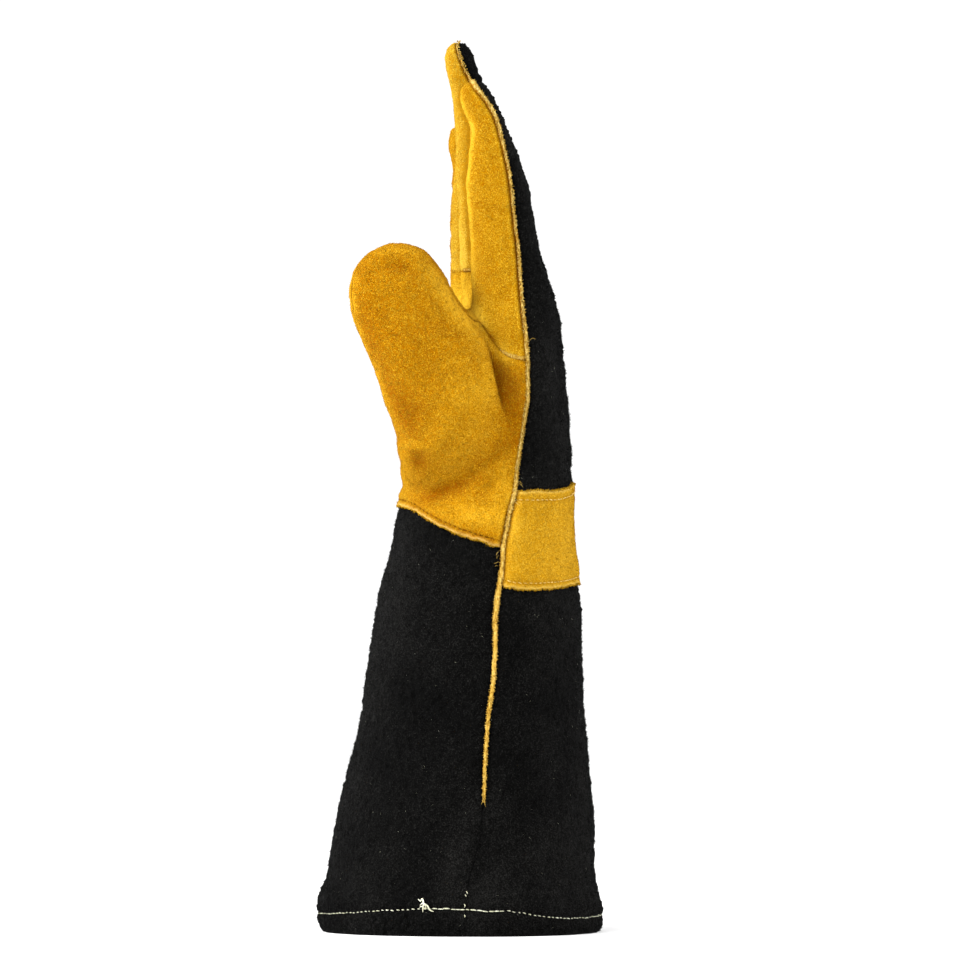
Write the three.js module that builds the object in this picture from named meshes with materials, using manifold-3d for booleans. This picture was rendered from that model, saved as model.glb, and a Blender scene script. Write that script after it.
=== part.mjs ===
// Barbecue gauntlet glove for the right hand, in split leather, standing upright on its hem.
// Millimetres. X runs from the palm (-) to the back of the hand (+), Y from the thumb side (-)
// to the little finger (+), and Z from the hem up to the fingertips.
import * as THREE from 'three';
import { mergeVertices } from 'three/addons/utils/BufferGeometryUtils.js';
import Module from 'manifold-3d';

const wasm = await Module();
wasm.setup();

// Driving dimensions
const leather = 2.0;          // wall thickness of every panel
const hemLeather = 4.0;       // two layers where the hem is turned in
const hemHeight = 12;         // height of the turned hem
const seamGap = 0.3;          // gap between neighbouring pieces
const weltWidth = 1.8;        // width of the leather strip in the seams
const weltRise = 1.0;         // how far the strip stands out of the seam
const weltEnd = 54;           // height on the cuff where the strip ends
const weltJoint = 41;         // distance from the middle to the joints over the outer fingertips
const bandLeather = 1.5;      // thickness of the wrist band
const backJoint = 160;        // height of the joint under the wrist band
const fingerSeam = 272.3;     // height of the seam at the base of the two middle fingers
const fingerPitch = 25.7;     // distance between finger roots
const crotchWidth = 4;        // width over which the seam passes from finger to finger
const tipDepth = 25;          // length of the rounded end of a finger
const thumbEdge = 0.5;        // how far the thumb's panels run past its root, onto the hand
const fingerSquare = 2.4;     // squareness of the finger and thumb sections, 2 is an ellipse
const reach = 150;            // half size of the cutting blocks, and their lowest and highest end
const blockLow = -50;
const blockHigh = 450;

// Points round a section, on the outside and on the inside of the leather
const points = {
  body: { outside: 34, inside: 20 },
  finger: { outside: 14, inside: 10 },
  thumb: { outside: 20, inside: 14 },
};

// Hem, cuff, wrist and palm: one row a section. palm, seam and back are x, half is the half
// width along Y, skew brings the palm forward on the little finger's side.
const bodyRows = [
  { z: 0, palm: -55.8, seam: 8.0, back: 57.4, half: 64.0, skew: 0, square: 2.1 },
  { z: 3, palm: -58.2, seam: 8.1, back: 58.9, half: 65.6, skew: 0, square: 2.1 },
  { z: 7, palm: -59.4, seam: 8.3, back: 59.4, half: 66.0, skew: 0, square: 2.1 },
  { z: 12, palm: -59.3, seam: 8.5, back: 58.3, half: 65.5, skew: 0, square: 2.1 },
  { z: 16, palm: -57.8, seam: 8.7, back: 57.1, half: 64.2, skew: 0, square: 2.1 },
  { z: 22, palm: -54.8, seam: 9.0, back: 56.1, half: 62.8, skew: 0, square: 2.1 },
  { z: 34, palm: -53.2, seam: 9.5, back: 55.5, half: 61.4, skew: 0, square: 2.1 },
  { z: 58, palm: -48.6, seam: 10.4, back: 53.9, half: 58.4, skew: 0, square: 2.1 },
  { z: 83, palm: -42.1, seam: 11.5, back: 52.0, half: 55.2, skew: 0, square: 2.1 },
  { z: 108, palm: -37.9, seam: 14.0, back: 51.5, half: 52.2, skew: 0, square: 2.15 },
  { z: 132, palm: -33.8, seam: 15.0, back: 49.9, half: 49.4, skew: 0, square: 2.2 },
  { z: 157, palm: -28.1, seam: 18.4, back: 47.0, half: 46.4, skew: 0, square: 2.25 },
  { z: 170, palm: -25.9, seam: 21.2, back: 46.2, half: 45.2, skew: 0, square: 2.3 },
  { z: 182, palm: -23.9, seam: 24.3, back: 45.8, half: 45.0, skew: 0, square: 2.3 },
  { z: 194, palm: -24.0, seam: 25.4, back: 45.7, half: 46.4, skew: 0.5, square: 2.35 },
  { z: 207, palm: -20.5, seam: 26.8, back: 45.2, half: 48.6, skew: 2.0, square: 2.4 },
  { z: 219, palm: -13.0, seam: 28.8, back: 44.1, half: 50.6, skew: 4.0, square: 2.4 },
  { z: 231, palm: -6.0, seam: 28.9, back: 43.3, half: 51.8, skew: 6.0, square: 2.5 },
  { z: 244, palm: -1.2, seam: 28.5, back: 42.1, half: 52.3, skew: 7.0, square: 2.6 },
  { z: 256, palm: 0.5, seam: 26.4, back: 40.2, half: 51.8, skew: 5.5, square: 2.7 },
  { z: 266, palm: 3.0, seam: 26.0, back: 35.8, half: 50.2, skew: 4.5, square: 2.8 },
  { z: 274, palm: 8.0, seam: 25.5, back: 31.0, half: 47.0, skew: 3.0, square: 2.8 },
];

// Fingers from thumb side to little finger. palm, seam and back are x, y is the middle.
const fingers = [
  {
    name: 'index',
    rows: [
      { z: 240, palm: 16.0, seam: 28.6, back: 37.4, y: -37.0, half: 10.5 },
      { z: 251, palm: 10.2, seam: 27.3, back: 38.0, y: -38.0, half: 12.6 },
      { z: 263, palm: 5.8, seam: 26.1, back: 36.8, y: -38.4, half: 12.9 },
      { z: 279, palm: 4.7, seam: 24.9, back: 33.4, y: -38.7, half: 12.6 },
      { z: 294, palm: 3.6, seam: 23.1, back: 30.9, y: -39.1, half: 12.3 },
      { z: 306, palm: 2.6, seam: 21.9, back: 28.4, y: -39.5, half: 12.1 },
      { z: 318, palm: 4.0, seam: 19.8, back: 24.8, y: -39.9, half: 11.8 },
      { z: 331, palm: 4.8, seam: 16.5, back: 19.8, y: -40.4, half: 11.2 },
      { z: 341, palm: 2.9, seam: 12.9, back: 15.1, y: -40.8, half: 9.8 },
      { z: 348, palm: 2.2, seam: 8.3, back: 10.7, y: -41.0, half: 7.2 },
      { z: 351.5, palm: 4.4, seam: 6.4, back: 8.4, y: -41.1, half: 3.6 },
    ],
  },
  {
    name: 'middle',
    rows: [
      { z: 240, palm: 4.0, seam: 28.6, back: 40.4, y: -12.6, half: 12.0 },
      { z: 256, palm: 1.0, seam: 26.4, back: 40.6, y: -12.8, half: 13.0 },
      { z: 268, palm: 0.6, seam: 26.0, back: 37.4, y: -12.9, half: 13.0 },
      { z: 283, palm: 0.4, seam: 24.6, back: 33.0, y: -13.0, half: 12.7 },
      { z: 299, palm: -0.5, seam: 22.4, back: 29.7, y: -13.2, half: 12.5 },
      { z: 314, palm: -1.6, seam: 19.6, back: 26.0, y: -13.4, half: 12.3 },
      { z: 330, palm: -1.1, seam: 14.2, back: 20.0, y: -13.6, half: 11.9 },
      { z: 343, palm: -2.9, seam: 8.4, back: 13.8, y: -13.8, half: 11.1 },
      { z: 354, palm: -5.2, seam: 3.0, back: 7.8, y: -13.9, half: 9.4 },
      { z: 361, palm: -5.8, seam: 0.2, back: 5.6, y: -14.0, half: 7.4 },
      { z: 365, palm: -4.2, seam: -0.6, back: 3.8, y: -14.0, half: 5.2 },
      { z: 367, palm: -1.8, seam: 0.0, back: 2.0, y: -14.0, half: 2.8 },
    ],
  },
  {
    name: 'ring',
    rows: [
      { z: 240, palm: 0.5, seam: 28.6, back: 40.2, y: 12.6, half: 12.0 },
      { z: 256, palm: -3.0, seam: 26.4, back: 39.4, y: 12.8, half: 13.0 },
      { z: 268, palm: -3.2, seam: 26.0, back: 36.7, y: 12.9, half: 13.0 },
      { z: 283, palm: -3.6, seam: 24.3, back: 32.2, y: 13.1, half: 12.6 },
      { z: 299, palm: -3.7, seam: 21.4, back: 28.0, y: 13.3, half: 12.2 },
      { z: 314, palm: -2.2, seam: 17.4, back: 23.4, y: 13.6, half: 11.8 },
      { z: 328, palm: -1.6, seam: 12.2, back: 17.6, y: 13.9, half: 11.3 },
      { z: 340, palm: -1.9, seam: 7.0, back: 12.2, y: 14.1, half: 10.2 },
      { z: 349, palm: -2.0, seam: 3.6, back: 8.0, y: 14.2, half: 8.0 },
      { z: 354, palm: -0.8, seam: 2.4, back: 5.6, y: 14.3, half: 5.4 },
      { z: 356, palm: 0.8, seam: 2.4, back: 4.0, y: 14.3, half: 2.8 },
    ],
  },
  {
    name: 'little',
    rows: [
      { z: 240, palm: 6.0, seam: 28.6, back: 36.6, y: 37.0, half: 10.5 },
      { z: 251, palm: -1.0, seam: 27.3, back: 37.0, y: 38.2, half: 12.4 },
      { z: 263, palm: -3.4, seam: 26.1, back: 35.6, y: 38.6, half: 12.5 },
      { z: 279, palm: -3.5, seam: 23.8, back: 31.2, y: 38.9, half: 12.0 },
      { z: 294, palm: -3.5, seam: 19.6, back: 25.8, y: 39.4, half: 11.4 },
      { z: 306, palm: -3.3, seam: 14.8, back: 20.4, y: 39.9, half: 10.8 },
      { z: 316, palm: -2.6, seam: 9.8, back: 14.6, y: 40.4, half: 9.8 },
      { z: 323, palm: -3.9, seam: 5.8, back: 9.8, y: 40.7, half: 8.2 },
      { z: 328, palm: -3.9, seam: 2.8, back: 6.0, y: 40.9, half: 5.8 },
      { z: 331, palm: -2.2, seam: 0.4, back: 2.8, y: 41.0, half: 2.8 },
    ],
  },
];

// Thumb, from the ball of the thumb to its tip. The sewn edge runs at y = edge.
const thumbRows = [
  { z: 172, palm: -10.0, back: 8.0, y: -14.0, half: 8.0, edge: -19.0 },
  { z: 184, palm: -19.5, back: 11.0, y: -21.5, half: 13.5, edge: -21.0 },
  { z: 194, palm: -24.0, back: 15.5, y: -27.5, half: 17.0, edge: -24.0 },
  { z: 206, palm: -26.0, back: 20.5, y: -33.6, half: 18.8, edge: -29.0 },
  { z: 219, palm: -30.5, back: 18.4, y: -38.2, half: 18.4, edge: -34.0 },
  { z: 228, palm: -33.2, back: 16.4, y: -40.6, half: 17.8, edge: -38.0 },
  { z: 238, palm: -37.6, back: 13.6, y: -42.4, half: 17.0, edge: -42.0 },
  { z: 247, palm: -41.6, back: 9.6, y: -43.4, half: 16.2, edge: -46.0 },
  { z: 256, palm: -44.5, back: 2.6, y: -44.0, half: 15.2, edge: -48.4 },
  { z: 264, palm: -45.0, back: -2.5, y: -44.4, half: 13.8, edge: -48.8 },
  { z: 271, palm: -43.8, back: -6.2, y: -44.6, half: 12.0, edge: -48.0 },
  { z: 277, palm: -40.2, back: -10.2, y: -44.8, half: 9.6, edge: -46.8 },
  { z: 281, palm: -35.8, back: -14.2, y: -44.9, half: 7.0, edge: -45.6 },
  { z: 283.9, palm: -29.0, back: -21.0, y: -45.0, half: 3.4, edge: -45.0 },
];

// Soft dents on the thumb side: place, size along each direction, slope and depth.
const dents = [
  { name: 'below the thumb', x: 0, z: 182, long: 17, wide: 5, slope: 0.32, depth: 1.6 },
  { name: 'ball of the thumb', x: -19, z: 195, long: 7, wide: 6, slope: 1.2, depth: 1.5 },
  { name: 'thumb tip', x: -21, z: 273, long: 8, wide: 5, slope: 0, depth: 1.2 },
  { name: 'side of the cuff', x: -8, z: 92, long: 34, wide: 12, slope: -1.1, depth: 1.8 },
  { name: 'cuff above the hem', x: 26, z: 46, long: 22, wide: 10, slope: 0.7, depth: 1.4 },
];

// Joint of the palm and the cuff: the golden edge runs down from palm to seam.
const palmEdge = [
  { x: -reach, z: 176 },
  { x: -25.2, z: 176 },
  { x: -19.4, z: 174.5 },
  { x: -11.6, z: 169.6 },
  { x: 2.1, z: 163.4 },
  { x: 16.9, z: 158.9 },
  { x: reach, z: 158.9 },
];

// Seam at the root of the index finger, over the thumb's wing piece.
const wingEdge = [
  { x: -reach, z: 249.5 },
  { x: 2, z: 249 },
  { x: 14.9, z: 243.8 },
  { x: 27.6, z: 236.8 },
  { x: reach, z: 230 },
];

// Outline of the wrist band, seen from the thumb side.
const bandOutline = [
  { x: 15, z: 144.2 },
  { x: 24, z: 141.6 },
  { x: 42, z: 142.2 },
  { x: 52, z: 144.6 },
  { x: 70, z: 145.0 },
  { x: 70, z: 184.0 },
  { x: 44, z: 183.6 },
  { x: 15, z: 182.2 },
];

const colours = {
  gold: { color: 0xd99a1e, roughness: 0.95, metalness: 0 },
  black: { color: 0x1a1a1a, roughness: 0.97, metalness: 0 },
  pale: { color: 0xd8ab55, roughness: 0.9, metalness: 0 },
};

// A column of a table at any height, on a smooth curve through its rows.
function valueAt(rows, column, z) {
  const last = rows.length - 1;
  if (z <= rows[0].z) return rows[0][column];
  if (z >= rows[last].z) return rows[last][column];
  let i = 0;
  while (rows[i + 1].z < z) i += 1;
  const slope = (j) => {
    const low = rows[Math.max(j - 1, 0)];
    const high = rows[Math.min(j + 1, last)];
    return (high[column] - low[column]) / (high.z - low.z);
  };
  const span = rows[i + 1].z - rows[i].z;
  const t = (z - rows[i].z) / span;
  const start = (1 + 2 * t) * (1 - t) ** 2 * rows[i][column] + t * (1 - t) ** 2 * span * slope(i);
  const end = t * t * (3 - 2 * t) * rows[i + 1][column] - t * t * (1 - t) * span * slope(i + 1);
  return start + end;
}

// A half size made larger or smaller by the offset, never less than half of itself.
function grown(size, offset) {
  return Math.max(size + offset, size / 2);
}

// How far the dents push the thumb side inwards at a point.
function dentDepth(x, z) {
  let depth = 0;
  for (const dent of dents) {
    const turn = Math.hypot(1, dent.slope);
    const along = ((x - dent.x) + dent.slope * (z - dent.z)) / turn;
    const across = ((z - dent.z) - dent.slope * (x - dent.x)) / turn;
    depth += dent.depth * Math.exp(-((along / dent.long) ** 2) - (across / dent.wide) ** 2);
  }
  return depth;
}

// One section: two halves of a superellipse that meet at the side seams.
function section(row, z, offset, count) {
  const skew = row.skew ?? 0;
  const square = row.square ?? fingerSquare;
  const middle = row.y ?? 0;
  const seam = row.seam ?? (row.palm + row.back) / 2;
  const half = grown(row.half, offset);
  const toBack = grown(row.back - seam, offset);
  const toPalm = grown(seam - row.palm, offset);
  const ring = [];
  for (let i = 0; i < count; i += 1) {
    const angle = (2 * Math.PI * i) / count;
    const across = -Math.cos(angle);
    const deep = Math.sin(angle);
    const side = Math.sign(across) * Math.abs(across) ** (2 / square);
    const depth = Math.sign(deep) * Math.abs(deep) ** (2 / square);
    const x = seam + depth * (deep > 0 ? toBack : toPalm) + Math.min(depth, 0) * skew * side;
    const y = middle + half * side;
    const push = across < 0 ? dentDepth(x, z) * -across : 0;
    ring.push(new THREE.Vector3(x, y + push, z));
  }
  return ring;
}

// A closed skin through sections that lie above each other.
function loft(rings) {
  const count = rings[0].length;
  const positions = [];
  const faces = [];
  for (const ring of rings) {
    for (const point of ring) positions.push(point.x, point.y, point.z);
  }
  for (let level = 0; level < rings.length - 1; level += 1) {
    for (let i = 0; i < count; i += 1) {
      const a = level * count + i;
      const b = level * count + ((i + 1) % count);
      faces.push(a, b, b + count, a, b + count, a + count);
    }
  }
  const ends = [{ ring: 0, flip: false }, { ring: rings.length - 1, flip: true }];
  for (const end of ends) {
    const centre = new THREE.Vector3();
    for (const point of rings[end.ring]) centre.addScaledVector(point, 1 / count);
    const hub = positions.length / 3;
    positions.push(centre.x, centre.y, centre.z);
    for (let i = 0; i < count; i += 1) {
      const a = end.ring * count + i;
      const b = end.ring * count + ((i + 1) % count);
      faces.push(hub, ...(end.flip ? [a, b] : [b, a]));
    }
  }
  const geometry = new THREE.BufferGeometry();
  geometry.setAttribute('position', new THREE.Float32BufferAttribute(positions, 3));
  geometry.setIndex(faces);
  return solidOf(geometry);
}

// A solid for joining and cutting, from any closed geometry.
function solidOf(geometry) {
  geometry.deleteAttribute('normal');
  geometry.deleteAttribute('uv');
  const merged = mergeVertices(geometry);
  return new wasm.Manifold(new wasm.Mesh({
    numProp: 3,
    vertProperties: new Float32Array(merged.attributes.position.array),
    triVerts: new Uint32Array(merged.index.array),
  }));
}

// An outline in X and Z carried through along Y.
function throughY(outline, from, to) {
  const shape = new THREE.Shape(outline.map((point) => new THREE.Vector2(point.x, point.z)));
  const geometry = new THREE.ExtrudeGeometry(shape, { depth: to - from, bevelEnabled: false });
  geometry.rotateX(Math.PI / 2);
  geometry.translate(0, to, 0);
  return solidOf(geometry);
}

// An outline in Y and Z carried through along X.
function throughX(outline) {
  const shape = new THREE.Shape(outline.map((point) => new THREE.Vector2(point.y, point.z)));
  const geometry = new THREE.ExtrudeGeometry(shape, { depth: 2 * reach, bevelEnabled: false });
  geometry.rotateX(Math.PI / 2);
  geometry.rotateZ(Math.PI / 2);
  geometry.translate(-reach, 0, 0);
  return solidOf(geometry);
}

// Everything below a line of heights, and everything above it.
function belowLine(line, shift) {
  const top = line.map((point) => ({ x: point.x, z: point.z + shift }));
  const bottom = [{ x: -reach, z: blockLow }, { x: reach, z: blockLow }];
  return throughY([...bottom, ...top.reverse()], -reach, reach);
}

function aboveLine(line, shift) {
  const bottom = line.map((point) => ({ x: point.x, z: point.z + shift }));
  const top = [{ x: reach, z: blockHigh }, { x: -reach, z: blockHigh }];
  return throughY([...bottom, ...top], -reach, reach);
}

// A finger or the thumb, with its rounded end drawn in or out by the offset.
function fingerSolid(rows, offset, count) {
  const tip = rows[rows.length - 1].z;
  return loft(rows.map((row) => {
    const nearTip = THREE.MathUtils.smoothstep(row.z, tip - tipDepth, tip);
    return section(row, row.z + offset * nearTip, offset, count);
  }));
}

// The cuff and the hand up to the roots of the fingers.
function bodySolid(offset, count) {
  const top = bodyRows[bodyRows.length - 1].z;
  return loft(bodyRows.map((row) => {
    const nearTop = THREE.MathUtils.smoothstep(row.z, top - tipDepth, top);
    return section(row, row.z + offset * nearTop, offset, count);
  }));
}

// The space inside the hand and cuff, narrower along the turned hem and open below it. The
// leather hides small steps of the outside, so above the hem every second row is enough.
function bodyHollow() {
  const count = points.body.inside;
  const last = bodyRows.length - 1;
  const top = bodyRows[last].z;
  const mouth = bodyRows[0];
  const hemTop = bodyRows.find((row) => row.z === hemHeight);
  const rings = [
    section(mouth, mouth.z - leather, -hemLeather, count),
    section(mouth, mouth.z, -hemLeather, count),
    section(hemTop, hemHeight, -hemLeather, count),
    section(hemTop, hemHeight + leather, -leather, count),
  ];
  bodyRows.forEach((row, i) => {
    if (row.z <= hemHeight || (last - i) % 2 === 1) return;
    const nearTop = THREE.MathUtils.smoothstep(row.z, top - tipDepth, top);
    rings.push(section(row, row.z - leather * nearTop, -leather, count));
  });
  return loft(rings);
}

// Where the side seam runs, for any place across the hand and any height.
function seamX(y, z) {
  if (z < fingers[0].rows[0].z) return valueAt(bodyRows, 'seam', z);
  const place = y / fingerPitch + 1.5;
  const finger = THREE.MathUtils.clamp(Math.round(place), 0, fingers.length - 1);
  return valueAt(fingers[finger].rows, 'seam', z);
}

// Block between two distances from the seam surface, out to the far end where one is the reach.
// Both faces have the same grid, so blocks that share a border keep an even gap.
function seamBlock(from, to) {
  const upSteps = 33;
  const borders = [-fingerPitch, 0, fingerPitch];
  const columns = [
    -3 * fingerPitch,
    ...borders.flatMap((border) => [border - crotchWidth / 2, border + crotchWidth / 2]),
    3 * fingerPitch,
  ];
  const acrossSteps = columns.length - 1;
  const positions = [];
  const faces = [];
  for (const distance of [from, to]) {
    for (let up = 0; up <= upSteps; up += 1) {
      const z = blockLow + ((blockHigh - blockLow) * up) / upSteps;
      for (const y of columns) {
        const x = Math.abs(distance) === reach ? distance : seamX(y, z) + distance;
        positions.push(x, y, z);
      }
    }
  }
  const row = acrossSteps + 1;
  const far = row * (upSteps + 1);
  const quad = (a, b, c, d) => faces.push(a, b, c, a, c, d);
  for (let up = 0; up < upSteps; up += 1) {
    for (let across = 0; across < acrossSteps; across += 1) {
      const a = up * row + across;
      faces.push(a, a + row, a + row + 1, a, a + row + 1, a + 1);
      faces.push(a + far, a + far + row + 1, a + far + row, a + far, a + far + 1, a + far + row + 1);
    }
    const left = up * row;
    const right = left + acrossSteps;
    quad(left, left + far, left + far + row, left + row);
    quad(right, right + row, right + far + row, right + far);
  }
  const topRow = upSteps * row;
  for (let across = 0; across < acrossSteps; across += 1) {
    quad(across, across + 1, across + 1 + far, across + far);
    const top = topRow + across;
    quad(top, top + far, top + far + 1, top + 1);
  }
  const geometry = new THREE.BufferGeometry();
  geometry.setAttribute('position', new THREE.Float32BufferAttribute(positions, 3));
  geometry.setIndex(faces);
  return solidOf(geometry);
}

// The largest connected body of a cut, without slivers.
function largest(solid) {
  const bodies = solid.decompose();
  bodies.sort((a, b) => b.volume() - a.volume());
  return bodies[0];
}

// Skin of the whole glove, before it is cut into its panels
const thumb = (offset, count) => fingerSolid(thumbRows, offset, count);
const fingerUnion = (offset, count) => fingers
  .map((finger) => fingerSolid(finger.rows, offset, count))
  .reduce((sum, finger) => sum.add(finger));

const outside = bodySolid(0, points.body.outside)
  .add(fingerUnion(0, points.finger.outside))
  .add(thumb(0, points.thumb.outside));
const hollow = bodyHollow()
  .add(fingerUnion(-leather, points.finger.inside))
  .add(thumb(-leather, points.thumb.inside));
const skin = outside.subtract(hollow);

// Seams with a welt keep room for it; below its end the panels meet directly
const weltRoom = weltWidth / 2 + seamGap;
const halfGap = seamGap / 2;
const weltFoot = [{ x: -reach, z: weltEnd }, { x: reach, z: weltEnd }];
const plainSeam = belowLine(weltFoot, -seamGap);
const palmSide = seamBlock(-reach, -weltRoom).add(seamBlock(-reach, -halfGap).intersect(plainSeam));
const backSide = seamBlock(weltRoom, reach).add(seamBlock(halfGap, reach).intersect(plainSeam));

const palmSkin = skin.intersect(palmSide);
const backSkin = skin.intersect(backSide);

// Cuff
const backLine = [{ x: -reach, z: backJoint }, { x: reach, z: backJoint }];
const cuffPalm = palmSkin.intersect(belowLine(palmEdge, -halfGap));
const cuffBack = backSkin.intersect(belowLine(backLine, -halfGap));
const handBack = backSkin.intersect(aboveLine(backLine, halfGap));

// Thumb: the outer wing piece and the inner face meet along the sewn edge
const gold = palmSkin.intersect(aboveLine(palmEdge, halfGap));
const edgeLine = thumbRows.map((row) => ({ y: row.edge, z: row.z }));
const firstRow = edgeLine[0];
const lastRow = edgeLine[edgeLine.length - 1];
const longEdge = [{ y: firstRow.y, z: blockLow }, ...edgeLine, { y: lastRow.y, z: blockHigh }];
const shifted = (shift) => longEdge.map((point) => ({ y: point.y + shift, z: point.z }));
const outerHalf = throughX([
  ...shifted(-halfGap),
  { y: -reach, z: blockHigh },
  { y: -reach, z: blockLow },
]);
const innerHalf = throughX([
  { y: reach, z: blockLow },
  { y: reach, z: blockHigh },
  ...shifted(halfGap).reverse(),
]);
const thumbZone = thumb(thumbEdge, points.thumb.outside);
const thumbClear = thumb(thumbEdge + seamGap, points.thumb.outside);
const wingZone = belowLine(wingEdge, -halfGap);
const thumbOuter = gold.intersect(wingZone.add(thumbZone)).intersect(outerHalf);
const thumbInner = gold.intersect(thumbZone).intersect(innerHalf);

// Fronts of the two middle fingers
const yBand = (from, to, bottom) => throughX([
  { y: from, z: bottom },
  { y: to, z: bottom },
  { y: to, z: blockHigh },
  { y: from, z: blockHigh },
]);
const frontZone = (shift) => yBand(-fingerPitch + shift, fingerPitch - shift, fingerSeam + shift);
const fingerFronts = gold.intersect(frontZone(halfGap));

// Palm, with the fronts of the index and little fingers
const upperZone = aboveLine(wingEdge, halfGap);
const palm = gold
  .intersect(innerHalf.add(upperZone))
  .subtract(thumbClear)
  .subtract(frontZone(-halfGap));

// Wrist band over the back
const bandInside = bodySolid(seamGap, points.body.outside);
const bandOutside = bodySolid(seamGap + bandLeather, points.body.outside);
const wristBand = bandOutside
  .subtract(bandInside)
  .intersect(throughY(bandOutline, -reach, reach))
  .intersect(seamBlock(weltRoom, reach));

// Welts in the side and finger seams
const weltOutside = bodySolid(weltRise, points.body.outside)
  .add(fingerUnion(weltRise, points.finger.outside));
const welt = weltOutside
  .subtract(hollow)
  .intersect(seamBlock(-weltWidth / 2, weltWidth / 2))
  .intersect(aboveLine(weltFoot, 0));
const weltThumbSide = welt.intersect(yBand(-reach, -weltJoint - halfGap, blockLow));
const weltFingers = welt.intersect(yBand(-weltJoint + halfGap, weltJoint - halfGap, blockLow));
const weltLittleSide = welt.intersect(yBand(weltJoint + halfGap, reach, blockLow));

// The glove
const glove = new THREE.Group();

function addPiece(name, solid, colour) {
  const mesh = largest(solid).getMesh();
  const geometry = new THREE.BufferGeometry();
  geometry.setAttribute('position', new THREE.Float32BufferAttribute(mesh.vertProperties, 3));
  geometry.setIndex(Array.from(mesh.triVerts));
  const piece = new THREE.Mesh(geometry, new THREE.MeshStandardMaterial(colour));
  piece.name = name;
  glove.add(piece);
}

addPiece('palm', palm, colours.gold);
addPiece('finger_fronts', fingerFronts, colours.gold);
addPiece('thumb_outer', thumbOuter, colours.gold);
addPiece('thumb_inner', thumbInner, colours.gold);
addPiece('hand_back', handBack, colours.black);
addPiece('wrist_band', wristBand, colours.gold);
addPiece('cuff_palm', cuffPalm, colours.black);
addPiece('cuff_back', cuffBack, colours.black);
addPiece('welt_thumb_side', weltThumbSide, colours.pale);
addPiece('welt_fingers', weltFingers, colours.pale);
addPiece('welt_little_side', weltLittleSide, colours.pale);

export default glove;
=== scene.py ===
# Barbecue gauntlet for the right hand in split leather, standing upright on its hem.
# Tables and meshes are worked out in millimetres: X runs from the palm to the back of the
# hand, Y from the thumb side to the little finger, Z from the hem up to the fingertips.
import math
import bpy
import numpy as np
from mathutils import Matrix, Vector


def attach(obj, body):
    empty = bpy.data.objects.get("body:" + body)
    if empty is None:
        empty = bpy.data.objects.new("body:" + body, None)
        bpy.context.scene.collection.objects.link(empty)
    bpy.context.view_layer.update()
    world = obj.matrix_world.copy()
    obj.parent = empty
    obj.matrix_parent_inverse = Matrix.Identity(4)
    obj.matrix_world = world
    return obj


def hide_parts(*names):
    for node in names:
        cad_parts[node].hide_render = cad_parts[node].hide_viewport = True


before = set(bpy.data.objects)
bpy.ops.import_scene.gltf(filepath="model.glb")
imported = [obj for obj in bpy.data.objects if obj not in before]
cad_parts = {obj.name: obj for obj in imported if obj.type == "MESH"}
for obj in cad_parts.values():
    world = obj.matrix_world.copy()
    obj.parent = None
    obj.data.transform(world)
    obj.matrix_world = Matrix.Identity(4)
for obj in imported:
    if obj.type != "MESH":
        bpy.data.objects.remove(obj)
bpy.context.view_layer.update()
mm = 0.001


# Curves and tables

def curveAt(places, values, at):
    # a smooth curve through the rows, flat past its ends
    slopes = np.empty(len(places))
    slopes[1:-1] = (values[2:] - values[:-2]) / (places[2:] - places[:-2])
    slopes[0] = (values[1] - values[0]) / (places[1] - places[0])
    slopes[-1] = (values[-1] - values[-2]) / (places[-1] - places[-2])
    at = np.clip(at, places[0], places[-1])
    i = np.clip(np.searchsorted(places, at, side="right") - 1, 0, len(places) - 2)
    span = places[i + 1] - places[i]
    t = (at - places[i]) / span
    start = (1 + 2 * t) * (1 - t) ** 2 * values[i] + t * (1 - t) ** 2 * span * slopes[i]
    end = t * t * (3 - 2 * t) * values[i + 1] - t * t * (1 - t) * span * slopes[i + 1]
    return start + end


def tableOf(names, rows, **fixed):
    table = {name: np.array(column, float) for name, column in zip(names.split(), zip(*rows))}
    for name, value in fixed.items():
        table[name] = np.full(len(rows), float(value))
    return table


def smoothStep(value, low, high):
    t = np.clip((value - low) / (high - low), 0, 1)
    return t * t * (3 - 2 * t)


def bell(distance, wide):
    # one where the distance is zero, fading on both sides
    return np.exp(-(distance / wide) ** 2)


def unit(vectors):
    return vectors / np.maximum(np.linalg.norm(vectors, axis=1), 1e-9)[:, None]


def sampled(where, at, values):
    # rows that are known at some places, for other places
    return np.stack([np.interp(where, at, values[:, k]) for k in range(3)], 1)


def circleOf(count):
    corner = np.arange(count) * 2 * math.pi / count
    return np.stack([np.cos(corner), np.sin(corner)], 1)


def ripple(places, shortest, longest, count, seed):
    # a soft random wave field of about unit strength
    random = np.random.default_rng(seed)
    lengths = random.uniform(shortest, longest, count)
    directions = unit(random.normal(size=(count, 3)))
    phases = random.uniform(0, 2 * math.pi, count)
    total = np.zeros(len(places))
    for direction, length, phase in zip(directions, lengths, phases):
        total += np.cos(places @ (direction * 2 * math.pi / length) + phase)
    return total / math.sqrt(count / 2)


# The glove's forms

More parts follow.
